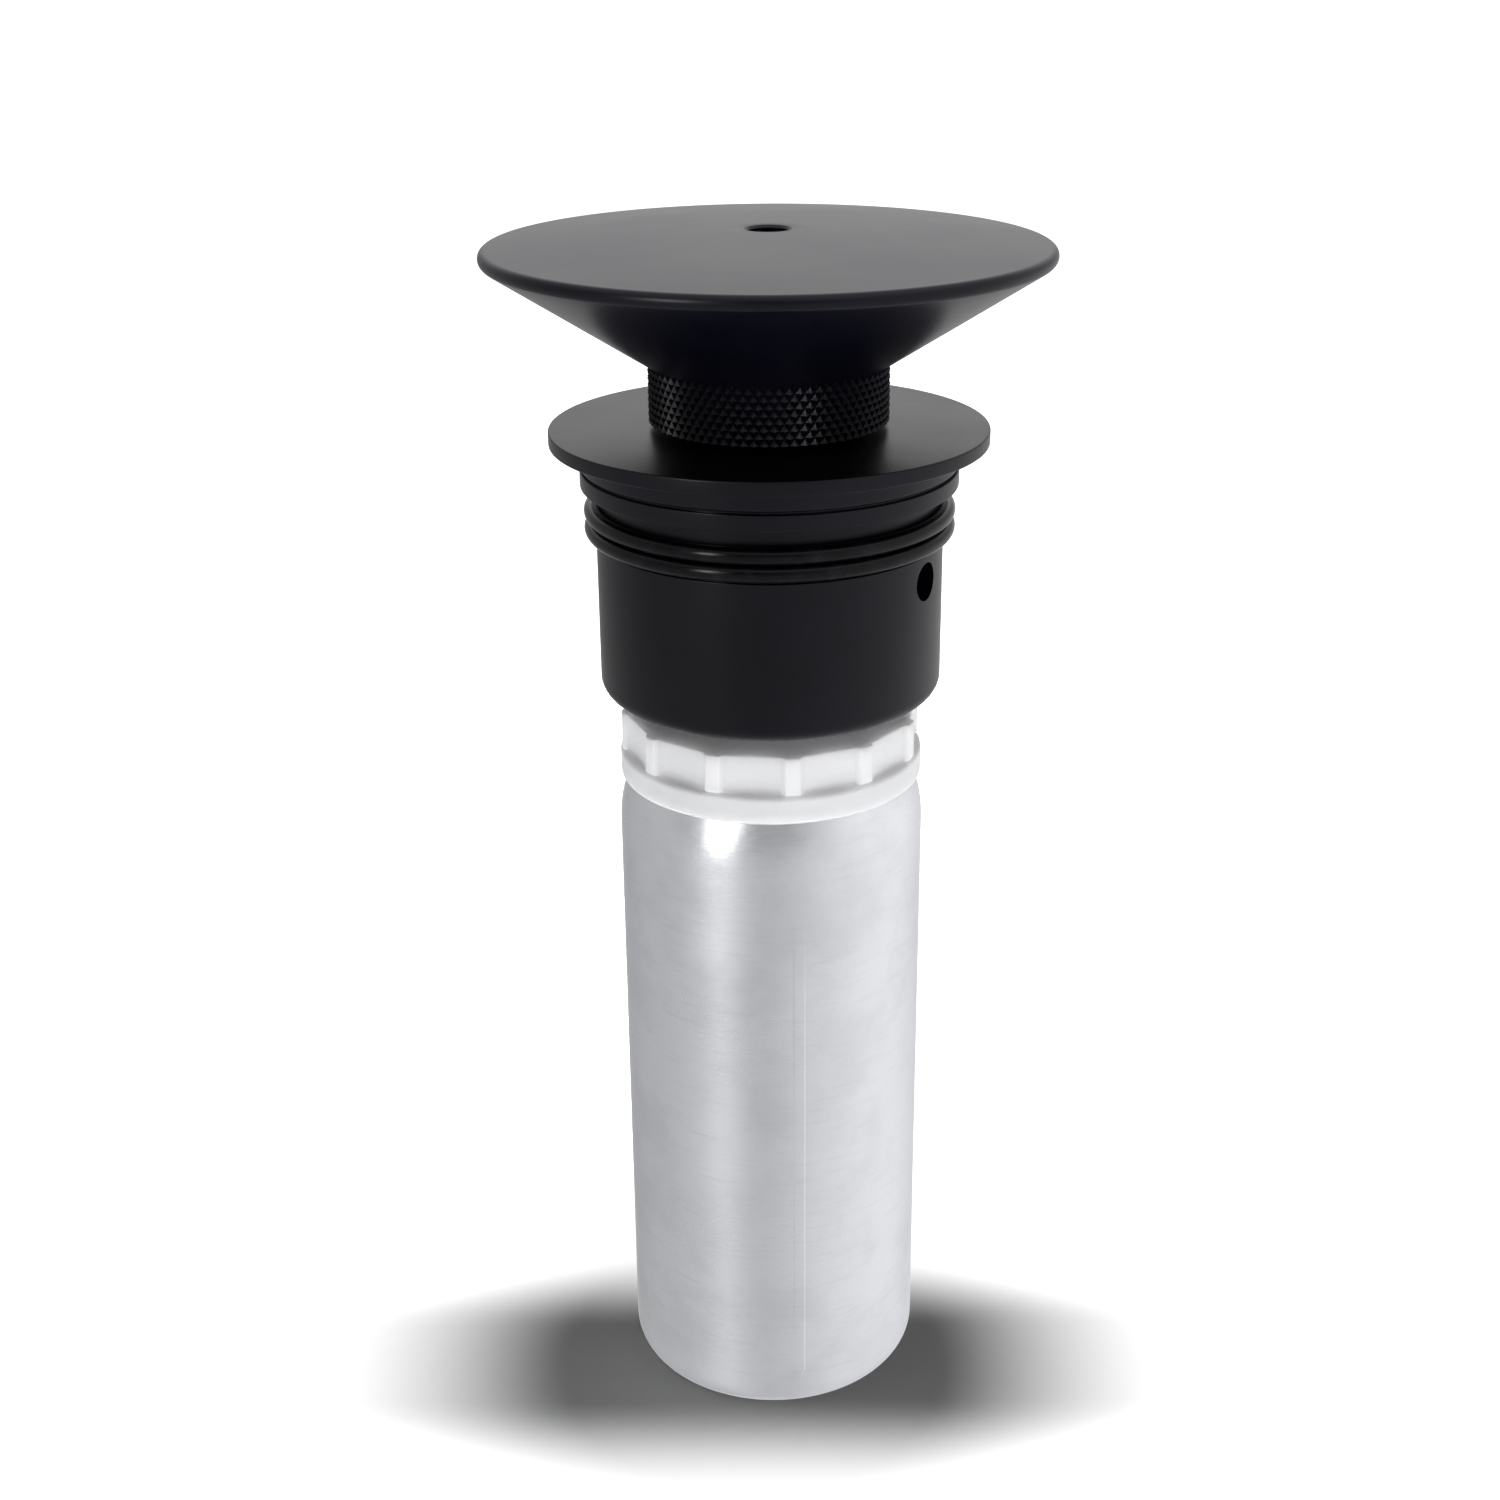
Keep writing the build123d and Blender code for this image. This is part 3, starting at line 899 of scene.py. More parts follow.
class DEWAR_OT_neck_ring(bpy.types.Operator):
    """Moulds the ribbed white screw ring, with its bead, flats, grip ribs, lip and inner thread"""

    bl_idname = "dewar.neck_ring"
    bl_label = "Neck Ring"

    def execute(self, context):
        settings = context.scene.dewar_ring
        step = TAU / settings.rib_count
        first = math.radians(settings.first_rib)
        half_rib = settings.rib_width / 2 / RIB_R
        side = 0.5 * MM / RIB_R
        # Columns from a rib's middle, over its side and along the flat, as angles.
        across = [0.0, half_rib * 0.55]
        across += [half_rib - side + 2 * side * k / 6 for k in range(7)]
        across += [half_rib + 1.5 * side, step * 0.22, step * 0.31, step * 0.4, step * 0.47]
        offsets = sorted({-a for a in across} | set(across) | {step / 2})
        starts = [first + number * step for number in range(settings.rib_count)]
        azimuths = sorted((start + a) % TAU for start in starts for a in offsets)

        def wall(azimuth):
            """Radius of the wall: a flat between ribs, and the rib over each corner."""
            near = (azimuth - first + step / 2) % step - step / 2
            flat = FLAT_R / math.cos(step / 2 - abs(near))
            rib = 1 - smooth(abs(near), half_rib - side, half_rib + side)
            return flat + (RIB_R - flat) * rib

        def shape(r, z, azimuth):
            """Moves the round wall out to the flats and ribs, and cuts the thread into the bore."""
            on_wall = BEAD_TOP_Z - BEAD_SLOPE < z < RING_SHOULDER_Z + 0.02 * MM
            if r > FLAT_R - 0.5 * MM and on_wall:
                share = 1 - smooth(r, FLAT_R + 0.05 * MM, FLAT_R + 0.9 * MM)
                return r + share * (wall(azimuth) - FLAT_R)
            if abs(r - RING_BORE_R) < SAME and SKIRT_TOP_Z + MM < z < RING_SHOULDER_Z - MM:
                return r + THREAD_DEPTH * (1 - helix(z, azimuth, THREAD_PITCH))
            return r

        outer = rounded(
            [
                (SKIRT_BORE_R, RING_LOW_Z, 0.25 * MM),
                (BEAD_R, RING_LOW_Z, 0.9 * MM),
                (BEAD_R, BEAD_TOP_Z - BEAD_SLOPE, 1.0 * MM),
                (FLAT_R, BEAD_TOP_Z + BEAD_SLOPE, 0.9 * MM),
                (FLAT_R, RING_SHOULDER_Z, 0.5 * MM),
                (FLAT_R - 0.9 * MM, RING_SHOULDER_Z + 0.35 * MM, 0.3 * MM),
                (LIP_BORE_R, RING_TOP_Z, 0.4 * MM),
                (LIP_BORE_R, RING_SHOULDER_Z, 0.2 * MM),
            ]
        )
        bore = [(RING_BORE_R, RING_SHOULDER_Z)]
        bore += stretch((RING_BORE_R, RING_SHOULDER_Z), (RING_BORE_R, SKIRT_TOP_Z), 0.25 * MM)
        bore += [(SKIRT_BORE_R, SKIRT_TOP_Z)]
        bm = lathe([outer + bore], azimuths, shape)
        piece = finished(bm, "screw_ring", "ring", "white_plastic", "neck_ring", sharp=40.0)
        painted(piece, white_plastic(settings))
        return {"FINISHED"}


# ---------------------------------------------------------------------------------
# Head
# ---------------------------------------------------------------------------------
BARREL_R = 36.2 * MM
BARREL_LOW_Z = 166.7 * MM
BARREL_TOP_Z = 200.4 * MM
BARREL_ROUND = 3.5 * MM
CAVITY_R = 33.2 * MM
CAVITY_LOW_Z = 171.0 * MM
GROOVE_R = 35.6 * MM
GROOVE_TOP_Z = 211.6 * MM
LAND_R = radius_of("plug_body")
BODY_TOP_Z = high_of("plug_body")
SPIGOT_R = 22.0 * MM
SPIGOT_LOW_Z = low_of("plug_body")
TUBE_R = radius_of("fill_tube")
SIDE_PORT_AZIMUTH = 61.0
SIDE_PORT_Z = 194.9 * MM
SIDE_PORT_R = 4.0 * MM
BOSS_R = 7.0 * MM
BOSS_INNER_R = 28.0 * MM
VENT_R = 1.2 * MM
VENT_CIRCLE_R = 17.0 * MM
VENT_COUNT = 4
LOCK_AZIMUTH = 180.0
LOCK_Z = 209.8 * MM
LOCK_R = 1.5 * MM
EDGE = 0.3 * MM
O_RING_SIDES = 96
O_RING_COLUMNS = 256


class DEWAR_OT_plug_body(bpy.types.Operator):
    """Turns the head's barrel, and drills its side port, vent holes and lock screw hole"""

    bl_idname = "dewar.plug_body"
    bl_label = "Plug Body"

    def execute(self, context):
        outline = rounded(
            [
                (TUBE_R, SPIGOT_LOW_Z, 0),
                (SPIGOT_R, SPIGOT_LOW_Z, EDGE),
                (SPIGOT_R, BARREL_LOW_Z, 0.2 * MM),
                (BARREL_R, BARREL_LOW_Z, BARREL_ROUND),
                (BARREL_R, BARREL_TOP_Z, 0.2 * MM),
                (GROOVE_R, BARREL_TOP_Z, 0.1 * MM),
                (GROOVE_R, GROOVE_TOP_Z, 0.2 * MM),
                (LAND_R, GROOVE_TOP_Z, EDGE),
                (LAND_R, BODY_TOP_Z, 0.25 * MM),
                (CAVITY_R, BODY_TOP_Z, EDGE),
                (CAVITY_R, CAVITY_LOW_Z, 0.5 * MM),
                (TUBE_R, CAVITY_LOW_Z, 0),
            ],
            steps=8,
        )
        bm = lathe([outline], even_turn(COLUMNS))
        wall_middle = (BARREL_R + CAVITY_R) / 2
        boss = bar(
            BOSS_R,
            outward(SIDE_PORT_AZIMUTH, BOSS_INNER_R, SIDE_PORT_Z),
            outward(SIDE_PORT_AZIMUTH, wall_middle, SIDE_PORT_Z),
        )
        bm = carve(bm, [boss], "UNION")
        drills = [
            bar(
                SIDE_PORT_R,
                outward(SIDE_PORT_AZIMUTH, BOSS_INNER_R - MM, SIDE_PORT_Z),
                outward(SIDE_PORT_AZIMUTH, 2 * BARREL_R - BOSS_INNER_R, SIDE_PORT_Z),
                sides=96,
            ),
            bar(
                LOCK_R,
                outward(LOCK_AZIMUTH, CAVITY_R - MM, LOCK_Z),
                outward(LOCK_AZIMUTH, BARREL_R + MM, LOCK_Z),
            ),
        ]
        for number in range(VENT_COUNT):
            azimuth = 360 * (number + 0.5) / VENT_COUNT
            foot = outward(azimuth, VENT_CIRCLE_R, SPIGOT_LOW_Z - MM)
            head = outward(azimuth, VENT_CIRCLE_R, CAVITY_LOW_Z + MM)
            drills.append(bar(VENT_R, foot, head, sides=32))
        piece = finished(carve(bm, drills), "head_barrel", "head", "black_anodised", "plug_body")
        painted(piece, black_anodised("black_anodised", context.scene.dewar_black))
        return {"FINISHED"}


class DEWAR_OT_o_rings(bpy.types.Operator):
    """Moulds the two O-rings, flattened where they rest on the groove's floor, and gives the flange's
    seal the same rubber
    """

    bl_idname = "dewar.o_rings"
    bl_label = "O-Rings"

    def execute(self, context):
        rubber = context.scene.dewar_rubber
        for node in ("lower_o_ring", "upper_o_ring"):
            low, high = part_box(node)
            section = (high.z - low.z) / 2
            centre_r = high.x - section
            middle_z = (low.z + high.z) / 2
            # The arc stops one step short of a full turn, where its first point is.
            steps = O_RING_SIDES - 1
            section_arc = arc(centre_r, middle_z, section, 180, 180 - 360 * steps / O_RING_SIDES, steps)
            outline = [(max(r, GROOVE_R), z) for r, z in section_arc]
            bm = lathe([outline], even_turn(O_RING_COLUMNS))
            piece = finished(bm, node + "_seal", "head", "black_rubber", node)
            painted(piece, rubber)
        painted(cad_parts["flange_seal"], rubber)
        return {"FINISHED"}


FLANGE_R = radius_of("flange_plate")
FLANGE_LOW_Z = 220.3 * MM
FLANGE_TOP_Z = 223.3 * MM
FLANGE_EDGE = 0.35 * MM
PLATE_LOW_Z = BODY_TOP_Z + 0.4 * MM
REGISTER_R = 33.1 * MM
REGISTER_BORE_R = 29.0 * MM
REGISTER_LOW_Z = low_of("flange_plate")
SPOUT_R = 19.0 * MM
SPOUT_BORE_R = 14.0 * MM
SPOUT_TOP_Z = high_of("flange_plate")


class DEWAR_OT_flange_plate(bpy.types.Operator):
    """Turns the seating flange with its land, register and threaded spout"""

    bl_idname = "dewar.flange_plate"
    bl_label = "Flange Plate"

    def execute(self, context):
        thread_low = FLANGE_TOP_Z + 1.2 * MM
        corners = rounded(
            [
                (SPOUT_BORE_R, PLATE_LOW_Z, EDGE),
                (REGISTER_BORE_R, PLATE_LOW_Z, 0),
                (REGISTER_BORE_R, REGISTER_LOW_Z, EDGE),
                (REGISTER_R, REGISTER_LOW_Z, EDGE),
                (REGISTER_R, PLATE_LOW_Z, 0),
                (LAND_R, PLATE_LOW_Z, 0.8 * MM),
                (LAND_R, FLANGE_LOW_Z, 2.2 * MM),
                (FLANGE_R, FLANGE_LOW_Z, FLANGE_EDGE),
                (FLANGE_R, FLANGE_TOP_Z, FLANGE_EDGE),
                (SPOUT_R, FLANGE_TOP_Z, EDGE),
                (SPOUT_R, thread_low, 0),
            ],
            steps=6,
        )
        corners += stretch((SPOUT_R, thread_low), (SPOUT_R, SPOUT_TOP_Z - 0.2 * MM), 0.2 * MM)
        corners += [(SPOUT_R - EDGE, SPOUT_TOP_Z), (SPOUT_BORE_R + EDGE, SPOUT_TOP_Z)]
        corners += [(SPOUT_BORE_R, SPOUT_TOP_Z - EDGE)]

        def shape(r, z, azimuth):
            """Cuts the thread into the spout, with a plain relief at both of its ends."""
            if abs(r - SPOUT_R) < SAME and z > thread_low:
                fade = smooth(z, thread_low, thread_low + 1.5 * MM)
                fade *= 1 - smooth(z, SPOUT_TOP_Z - MM, SPOUT_TOP_Z - 0.2 * MM)
                depth = THREAD_DEPTH * smooth(z, thread_low, thread_low + 0.4 * MM)
                return r - depth * (1 - fade * helix(z, azimuth, THREAD_PITCH))
            return r

        bm = lathe([corners], even_turn(COLUMNS), shape)
        drill = bar(
            LOCK_R,
            outward(LOCK_AZIMUTH, REGISTER_BORE_R - MM, LOCK_Z),
            outward(LOCK_AZIMUTH, REGISTER_R + MM, LOCK_Z),
        )
        piece = finished(carve(bm, [drill]), "seating_flange", "head", "black_anodised", "flange_plate")
        painted(piece, black_anodised("black_anodised_flange", context.scene.dewar_black))
        return {"FINISHED"}


class DEWAR_OT_filling_parts(bpy.types.Operator):
    """Finishes the tube, nut, funnel, foam, retainer, lock screw, stopper and its seal"""

    bl_idname = "dewar.filling_parts"
    bl_label = "Filling Parts"

    def execute(self, context):
        steel = inner_steel()
        fastener = screw_steel()
        foam = insulating_foam()
        for node, material in (
            ("fill_tube", steel),
            ("fill_funnel", steel),
            ("tube_nut", fastener),
            ("lock_screw", fastener),
            ("swivel_screw", fastener),
            ("foam_neck_plug", foam),
            ("cap_foam", foam),
            ("foam_retainer", glass_laminate()),
            ("fill_stopper", turned_ptfe("stopper_plastic", (0.84, 0.84, 0.83))),
            ("stopper_seal", context.scene.dewar_rubber),
            ("thrust_washer", bearing_bronze()),
        ):
            painted(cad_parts[node], material)
        return {"FINISHED"}


# ---------------------------------------------------------------------------------
# Cap
# ---------------------------------------------------------------------------------
COLLAR_R = radius_of("knurled_collar")
COLLAR_LOW_Z = low_of("knurled_collar")
CONE_LOW_Z = high_of("knurled_collar")
COLLAR_CHAMFER = 0.4 * MM
# Mesh columns and rows in one diamond's width and height, and the share of its height at the flat top.
KNURL_PARTS = 4
KNURL_TOP = 0.9
HUB_R = radius_of("cap_hub")
HUB_LOW_Z = low_of("cap_hub")
HUB_TOP_Z = high_of("cap_hub")
HUB_BORE_R = 19.2 * MM
SWIVEL_R = 3.0 * MM
SWIVEL_TOP_Z = high_of("swivel_screw")
RIM_R = radius_of("cap_shell")
RIM_ROUND = 1.6 * MM
RIM_Z = 258.3 * MM
CONE_ANGLE = 32.6
DOME_TOP_Z = high_of("cap_shell")
EYE_R = 4.25 * MM
EYE_LOW_Z = 246.5 * MM
EYE_THREAD_PITCH = 1.5 * MM
EYE_THREAD_DEPTH = 0.6 * MM
EYE_BREAK = 0.7 * MM
DOME_LIFT = 0.02 * MM
CAP_WALL = 3.0 * MM
VOID_INNER_R = 8.0 * MM
VOID_OUTER_R = 50.0 * MM
VOID_RIM_HEIGHT = 1.3 * MM
AXIS_R = 0.4 * MM


class DEWAR_OT_knurled_collar(bpy.types.Operator):
    """Cuts the collar's diamond knurl as real pyramids with flat tops"""

    bl_idname = "dewar.knurled_collar"
    bl_label = "Knurled Collar"

    def execute(self, context):
        settings = context.scene.dewar_black
        azimuths = even_turn(settings.knurl_count * KNURL_PARTS)
        columns = len(azimuths)
        rows = settings.knurl_rows * KNURL_PARTS // 2
        low_z = COLLAR_LOW_Z + COLLAR_CHAMFER
        bm = bmesh.new()
        grid = []
        for row in range(rows + 1):
            v = row / KNURL_PARTS
            z = low_z + (CONE_LOW_Z - low_z) * row / rows
            line = []
            for column, azimuth in enumerate(azimuths):
                u = column / KNURL_PARTS
                height = min(saw(u + v), saw(u - v), KNURL_TOP) / KNURL_TOP
                r = COLLAR_R - settings.knurl_depth * (1 - height)
                line.append(bm.verts.new(turned(r, azimuth, z)))
            grid.append(line)
        for row in range(rows):
            for column in range(columns):
                after = (column + 1) % columns
                a, b = grid[row][column], grid[row][after]
                c, d = grid[row + 1][after], grid[row + 1][column]
                rising = (column + row) % 2 == 0
                if rising:
                    bm.faces.new((a, b, c))
                    bm.faces.new((a, c, d))
                else:
                    bm.faces.new((a, b, d))
                    bm.faces.new((b, c, d))
        rim = grid[0]
        sections = (
            (COLLAR_R - settings.knurl_depth - 0.15 * MM, COLLAR_LOW_Z),
            (HUB_R + 0.2 * MM, COLLAR_LOW_Z),
            (HUB_R, COLLAR_LOW_Z + 0.2 * MM),
            (HUB_R, CONE_LOW_Z),
        )
        for r, z in sections:
            line = [bm.verts.new(turned(r, azimuth, z)) for azimuth in azimuths]
            band(bm, rim, line)
            rim = line
        band(bm, rim, grid[-1])
        piece = finished(bm, "knurled_grip", "cap", "black_anodised", "knurled_collar", sharp=12.0)
        painted(piece, black_anodised("black_anodised_knurl", settings, COLLAR_R))
        return {"FINISHED"}


class DEWAR_OT_cap(bpy.types.Operator):
    """Turns the mushroom cap with its tapped hole, and the threaded hub inside it"""

    bl_idname = "dewar.cap"
    bl_label = "Cap"

    def shell(self):
        """Mushroom outline with its tapped eye, and the closed space that holds the foam."""
        cone = math.radians(CONE_ANGLE)
        rim_centre_r = RIM_R - RIM_ROUND
        dome_edge_z = RIM_Z + RIM_ROUND
        sagitta = DOME_TOP_Z + DOME_LIFT - dome_edge_z
        dome_r = (rim_centre_r ** 2 + sagitta ** 2) / (2 * sagitta)
        outer = [(HUB_R, CONE_LOW_Z), (COLLAR_R - 0.1 * MM, CONE_LOW_Z)]
        outer += [(COLLAR_R, CONE_LOW_Z + 0.08 * MM)]
        foot_r = rim_centre_r + RIM_ROUND * math.sin(cone)
        foot_z = RIM_Z - RIM_ROUND * math.cos(cone)
        outer += stretch(outer[-1], (foot_r, foot_z), 4 * MM)[:-1]
        outer += arc(rim_centre_r, RIM_Z, RIM_ROUND, CONE_ANGLE - 90, 90, 18)
        steps = 16
        for step in range(1, steps + 1):
            r = rim_centre_r - (rim_centre_r - EYE_R - EYE_BREAK) * step / steps
            outer.append((r, DOME_TOP_Z + DOME_LIFT - dome_r + math.sqrt(dome_r ** 2 - r ** 2)))
        mouth_z = DOME_TOP_Z - 0.55 * MM
        outer += [(EYE_R + 0.5 * MM, DOME_TOP_Z - 0.12 * MM), (EYE_R, mouth_z)]
        outer += stretch((EYE_R, mouth_z), (EYE_R, EYE_LOW_Z), 0.125 * MM)
        outer += [(AXIS_R, EYE_LOW_Z - 1.2 * MM), (AXIS_R, HUB_TOP_Z), (HUB_R, HUB_TOP_Z)]
        wall_rise = CAP_WALL / math.cos(cone)
        floor_r = COLLAR_R + (HUB_TOP_Z - CONE_LOW_Z - wall_rise) / math.tan(cone)
        rim_low = CONE_LOW_Z + wall_rise + (VOID_OUTER_R - COLLAR_R) * math.tan(cone)
        void = [(VOID_INNER_R, HUB_TOP_Z), (floor_r, HUB_TOP_Z), (VOID_OUTER_R, rim_low)]
        void += [(VOID_OUTER_R, rim_low + VOID_RIM_HEIGHT), (VOID_INNER_R, high_of("cap_foam"))]

        def shape(r, z, azimuth):
            """Cuts the eye's thread below its mouth."""
            if abs(r - EYE_R) < SAME and z < mouth_z - SAME:
                fade = smooth(mouth_z - z, 0.0, 0.5 * MM)
                return r + EYE_THREAD_DEPTH * fade * (1 - helix(z, azimuth, EYE_THREAD_PITCH))
            return r

        return lathe([outer, void], even_turn(COLUMNS), shape)

    def hub(self):
        """Cup with the thread for the spout and the hole for the swivel screw."""
        top_z = CONE_LOW_Z
        outline = [(HUB_R, HUB_LOW_Z), (HUB_R, HUB_TOP_Z), (AXIS_R, HUB_TOP_Z), (AXIS_R, SWIVEL_TOP_Z)]
        outline += [(SWIVEL_R, SWIVEL_TOP_Z), (SWIVEL_R, top_z), (HUB_BORE_R, top_z)]
        outline += stretch((HUB_BORE_R, top_z), (HUB_BORE_R, HUB_LOW_Z), 0.25 * MM)

        def shape(r, z, azimuth):
            """Cuts the thread that runs on the spout."""
            if abs(r - HUB_BORE_R) < SAME and HUB_LOW_Z + 0.5 * MM < z < top_z - 1.5 * MM:
                return r + THREAD_DEPTH * (1 - helix(z, azimuth, THREAD_PITCH))
            return r

        return lathe([outline], even_turn(HUB_COLUMNS), shape)

    def execute(self, context):
        settings = context.scene.dewar_black
        cap = finished(self.shell(), "mushroom_cap", "cap", "black_anodised", "cap_shell")
        painted(cap, black_anodised("black_anodised_cap", settings))
        hub = finished(self.hub(), "threaded_hub", "cap", "black_anodised", "cap_hub")
        painted(hub, cap.data.materials[0])
        return {"FINISHED"}


# ---------------------------------------------------------------------------------
# Stage
# ---------------------------------------------------------------------------------
FLOOR_HALF = 8.0
# Painted light on the floor: its emission glow is dim within SHADOW_HALF_DEPTH of the shadow's middle
# line and full past SHADOW_END_DEPTH, which cuts the shadow short from front to back; a fainter glow
# rises far out.
SHADOW_MIDDLE_Y = -15.0 * MM
SHADOW_HALF_DEPTH = 13.0 * MM
SHADOW_END_DEPTH = 47.0 * MM
GLOW_UNDER = 0.05
GLOW_BEYOND = 1.0
GLOW_FAR = 0.2
GLOW_FAR_START_R = 0.09
GLOW_FAR_END_R = 0.4

# Levels of the light tent, and half widths of its panels in degrees.
TENT_LEFT = 0.50
TENT_RIGHT = 0.80
TENT_FAR_RIGHT = 0.18
TENT_BACK_LOSS = 0.08
TENT_CORNER_LOSS = 0.4
TENT_CORNER_GAIN = 0.22
BACK_PANEL = (18, 0.32)
STREAK_PANEL = (8, 0.16)
FRONT_SHADE = (30, 0.6)
HIGH_BACK = 1.1

OVERHEAD_PLACE = (0.016, 0.045, 1.08)
WINDOW_AZIMUTH = -38.0
WINDOW_PLACE = outward(WINDOW_AZIMUTH, 1.1, 0.52)
WINDOW_AIM = (0, 0, 0.14)
WINDOW_SIZE = (0.16, 0.50)
WINDOW_POWER = 4.2
FILL_DISTANCE = 1.3
FILL_HEIGHT = 0.22
FILL_AIM = (0, 0, 0.15)
FILL_SIZE = (1.0, 0.4)
FILLS = (
    ("left_fill", -48, 0.45),
    ("front_fill", 8, 0.7),
    ("right_fill", 60, 1.2),
)


class DEWAR_OT_stage(bpy.types.Operator):
    """Sets the floor with its painted glow, the light tent, the soft boxes and the camera"""

    bl_idname = "dewar.stage"
    bl_label = "Stage"

    def floor(self, settings):
        """Plain sheet with painted light: its glow keeps the shadow shallow from front to back, and
        whitens it far out.
        """
        corners = [(x * FLOOR_HALF, y * FLOOR_HALF, 0) for x, y in ((-1, -1), (1, -1), (1, 1), (-1, 1))]
        mesh = bpy.data.meshes.new("floor")
        mesh.from_pydata(corners, [], [(0, 1, 2, 3)])
        floor = bpy.data.objects.new("floor", mesh)
        bpy.context.scene.collection.objects.link(floor)
        f = Finish("floor_paper", settings.floor_colour, 0.9)
        f.shader.inputs["Specular IOR Level"].default_value = 0.0
        greyer = tuple(0.98 * c for c in settings.floor_colour)
        f.mottled(f.noise(3.0), 0.3, 0.7, 0.15, tuple(settings.floor_colour), greyer)
        # Painted light: the floor glows white, dim in a band through the shadow and full outside it,
        # plus a faint glow far out.
        f.shader.inputs["Emission Color"].default_value = (1.0, 1.0, 1.0, 1.0)
        depth = f.math("ABSOLUTE", f.math("SUBTRACT", f.split(f.place)[1], SHADOW_MIDDLE_Y))
        near = f.ranged(depth, SHADOW_HALF_DEPTH, SHADOW_END_DEPTH, GLOW_UNDER, GLOW_BEYOND)
        far = f.ranged(f.radius(), GLOW_FAR_START_R, GLOW_FAR_END_R, 0.0, GLOW_FAR)
        f.link(f.math("ADD", near, far), f.shader.inputs["Emission Strength"])
        painted(floor, f.material)
        floor.visible_glossy = False

    def tent(self, settings):
        """Light tent round the stage: white to look at, uneven in reflections, none on matt surfaces."""
        world = bpy.data.worlds.new("light_tent")
        bpy.context.scene.world = world
        world.use_nodes = True
        sky = Nodes(world.node_tree)
        output = sky.node("ShaderNodeOutputWorld")
        background = sky.node("ShaderNodeBackground")
        background.inputs["Strength"].default_value = settings.sky_strength
        sky.link(background.outputs["Background"], output.inputs["Surface"])
        direction = sky.node("ShaderNodeTexCoord").outputs["Generated"]
        right, back, up = sky.split(direction)
        azimuth = sky.math("ARCTAN2", right, sky.math("MULTIPLY", back, -1.0))
        off_front = sky.math("ABSOLUTE", azimuth)
        off_back = sky.math("SUBTRACT", math.pi, off_front)
        off_streak = sky.math("ABSOLUTE", sky.math("SUBTRACT", azimuth, math.radians(WINDOW_AZIMUTH)))

        def rise(value, low, high, level=1.0):
            """0 below low and level above high."""
            return sky.ranged(value, low, high, 0.0, level)

        def fall(value, low, high, level=1.0):
            """level below low and 0 above high."""
            return sky.ranged(value, low, high, level, 0.0)

        def panel(away, half_width, level):
            """Soft-edged upright panel; its half width is in degrees."""
            return fall(away, math.radians(0.5 * half_width), math.radians(1.5 * half_width), level)

        def plus(first, second):
            return sky.math("ADD", first, second)

        def minus(first, second):
            return sky.math("SUBTRACT", first, second)

        def times(first, second):
            return sky.math("MULTIPLY", first, second)

        # right, back and up are the parts of a unit direction, so each runs from -1 to 1.
        wall = sky.ranged(right, -0.35, 0.75, TENT_LEFT, TENT_RIGHT)
        wall = plus(wall, rise(right, 0.6, 1.0, TENT_FAR_RIGHT))
        wall = plus(wall, panel(off_back, *BACK_PANEL))
        wall = minus(wall, rise(back, 0.2, 0.8, TENT_BACK_LOSS))
        corner = sky.math("MAXIMUM", times(right, back), 0.0)
        loss = sky.ranged(up, -0.15, 0.15, -TENT_CORNER_GAIN, TENT_CORNER_LOSS)
        wall = minus(wall, times(corner, loss))
        wall = plus(wall, times(panel(off_streak, *STREAK_PANEL), fall(up, -0.2, 0.0)))
        low_band = times(rise(up, -0.1, 0.1), fall(up, 0.5, 0.75))
        wall = times(wall, minus(1.0, times(panel(off_front, *FRONT_SHADE), low_band)))
        wall = plus(wall, rise(up, 0.5, 0.85, settings.ceiling))
        wall = plus(wall, times(rise(back, 0.5, 0.95, HIGH_BACK), rise(up, 0.1, 0.6)))
        path = sky.node("ShaderNodeLightPath")
        wall = times(wall, sky.math("LESS_THAN", path.outputs["Diffuse Depth"], 0.5))
        wall = sky.math("MAXIMUM", wall, path.outputs["Is Camera Ray"])
        sky.link(wall, background.inputs["Color"])
        world.cycles_visibility.diffuse = False

    def lamp(self, name, shape, place, aim, size, power):
        """Area light at a place, aimed at a point."""
        light = bpy.data.lights.new(name, "AREA")
        light.shape = shape
        light.size = size[0]
        light.size_y = size[1]
        light.energy = power
        lamp = bpy.data.objects.new(name, light)
        bpy.context.scene.collection.objects.link(lamp)
        lamp.location = place
        lamp.rotation_euler = (Vector(aim) - Vector(place)).to_track_quat("-Z", "Y").to_euler()
        return lamp

    def lamps(self, settings):
        """Overhead light for the soft shadow, a window for the highlight and three front fills."""
        below = (OVERHEAD_PLACE[0], OVERHEAD_PLACE[1], 0)
        size = (settings.overhead_size, settings.overhead_size)
        power = settings.overhead_power
        overhead = self.lamp("overhead_light", "DISK", OVERHEAD_PLACE, below, size, power)
        overhead.visible_glossy = False
        window = self.lamp(
            "left_window",
            "RECTANGLE",
            WINDOW_PLACE,
            WINDOW_AIM,
            WINDOW_SIZE,
            WINDOW_POWER,
        )
        window.visible_diffuse = False
        for name, azimuth, share in FILLS:
            place = outward(azimuth, FILL_DISTANCE, FILL_HEIGHT)
            power = share * settings.fill_power
            fill = self.lamp(name, "RECTANGLE", place, FILL_AIM, FILL_SIZE, power)
            fill.visible_glossy = False

    def camera(self, settings):
        data = bpy.data.cameras.new("camera")
        data.lens = settings.lens
        data.sensor_width = 36.0
        data.shift_x = settings.shift
        camera = bpy.data.objects.new("camera", data)
        bpy.context.scene.collection.objects.link(camera)
        camera.location = (0, -settings.distance, settings.camera_height)
        aim = Euler((math.pi / 2 - settings.pitch, 0, 0)).to_matrix()
        tilt = Euler((0, 0, settings.roll)).to_matrix()
        camera.rotation_euler = (aim @ tilt).to_euler()
        bpy.context.scene.camera = camera

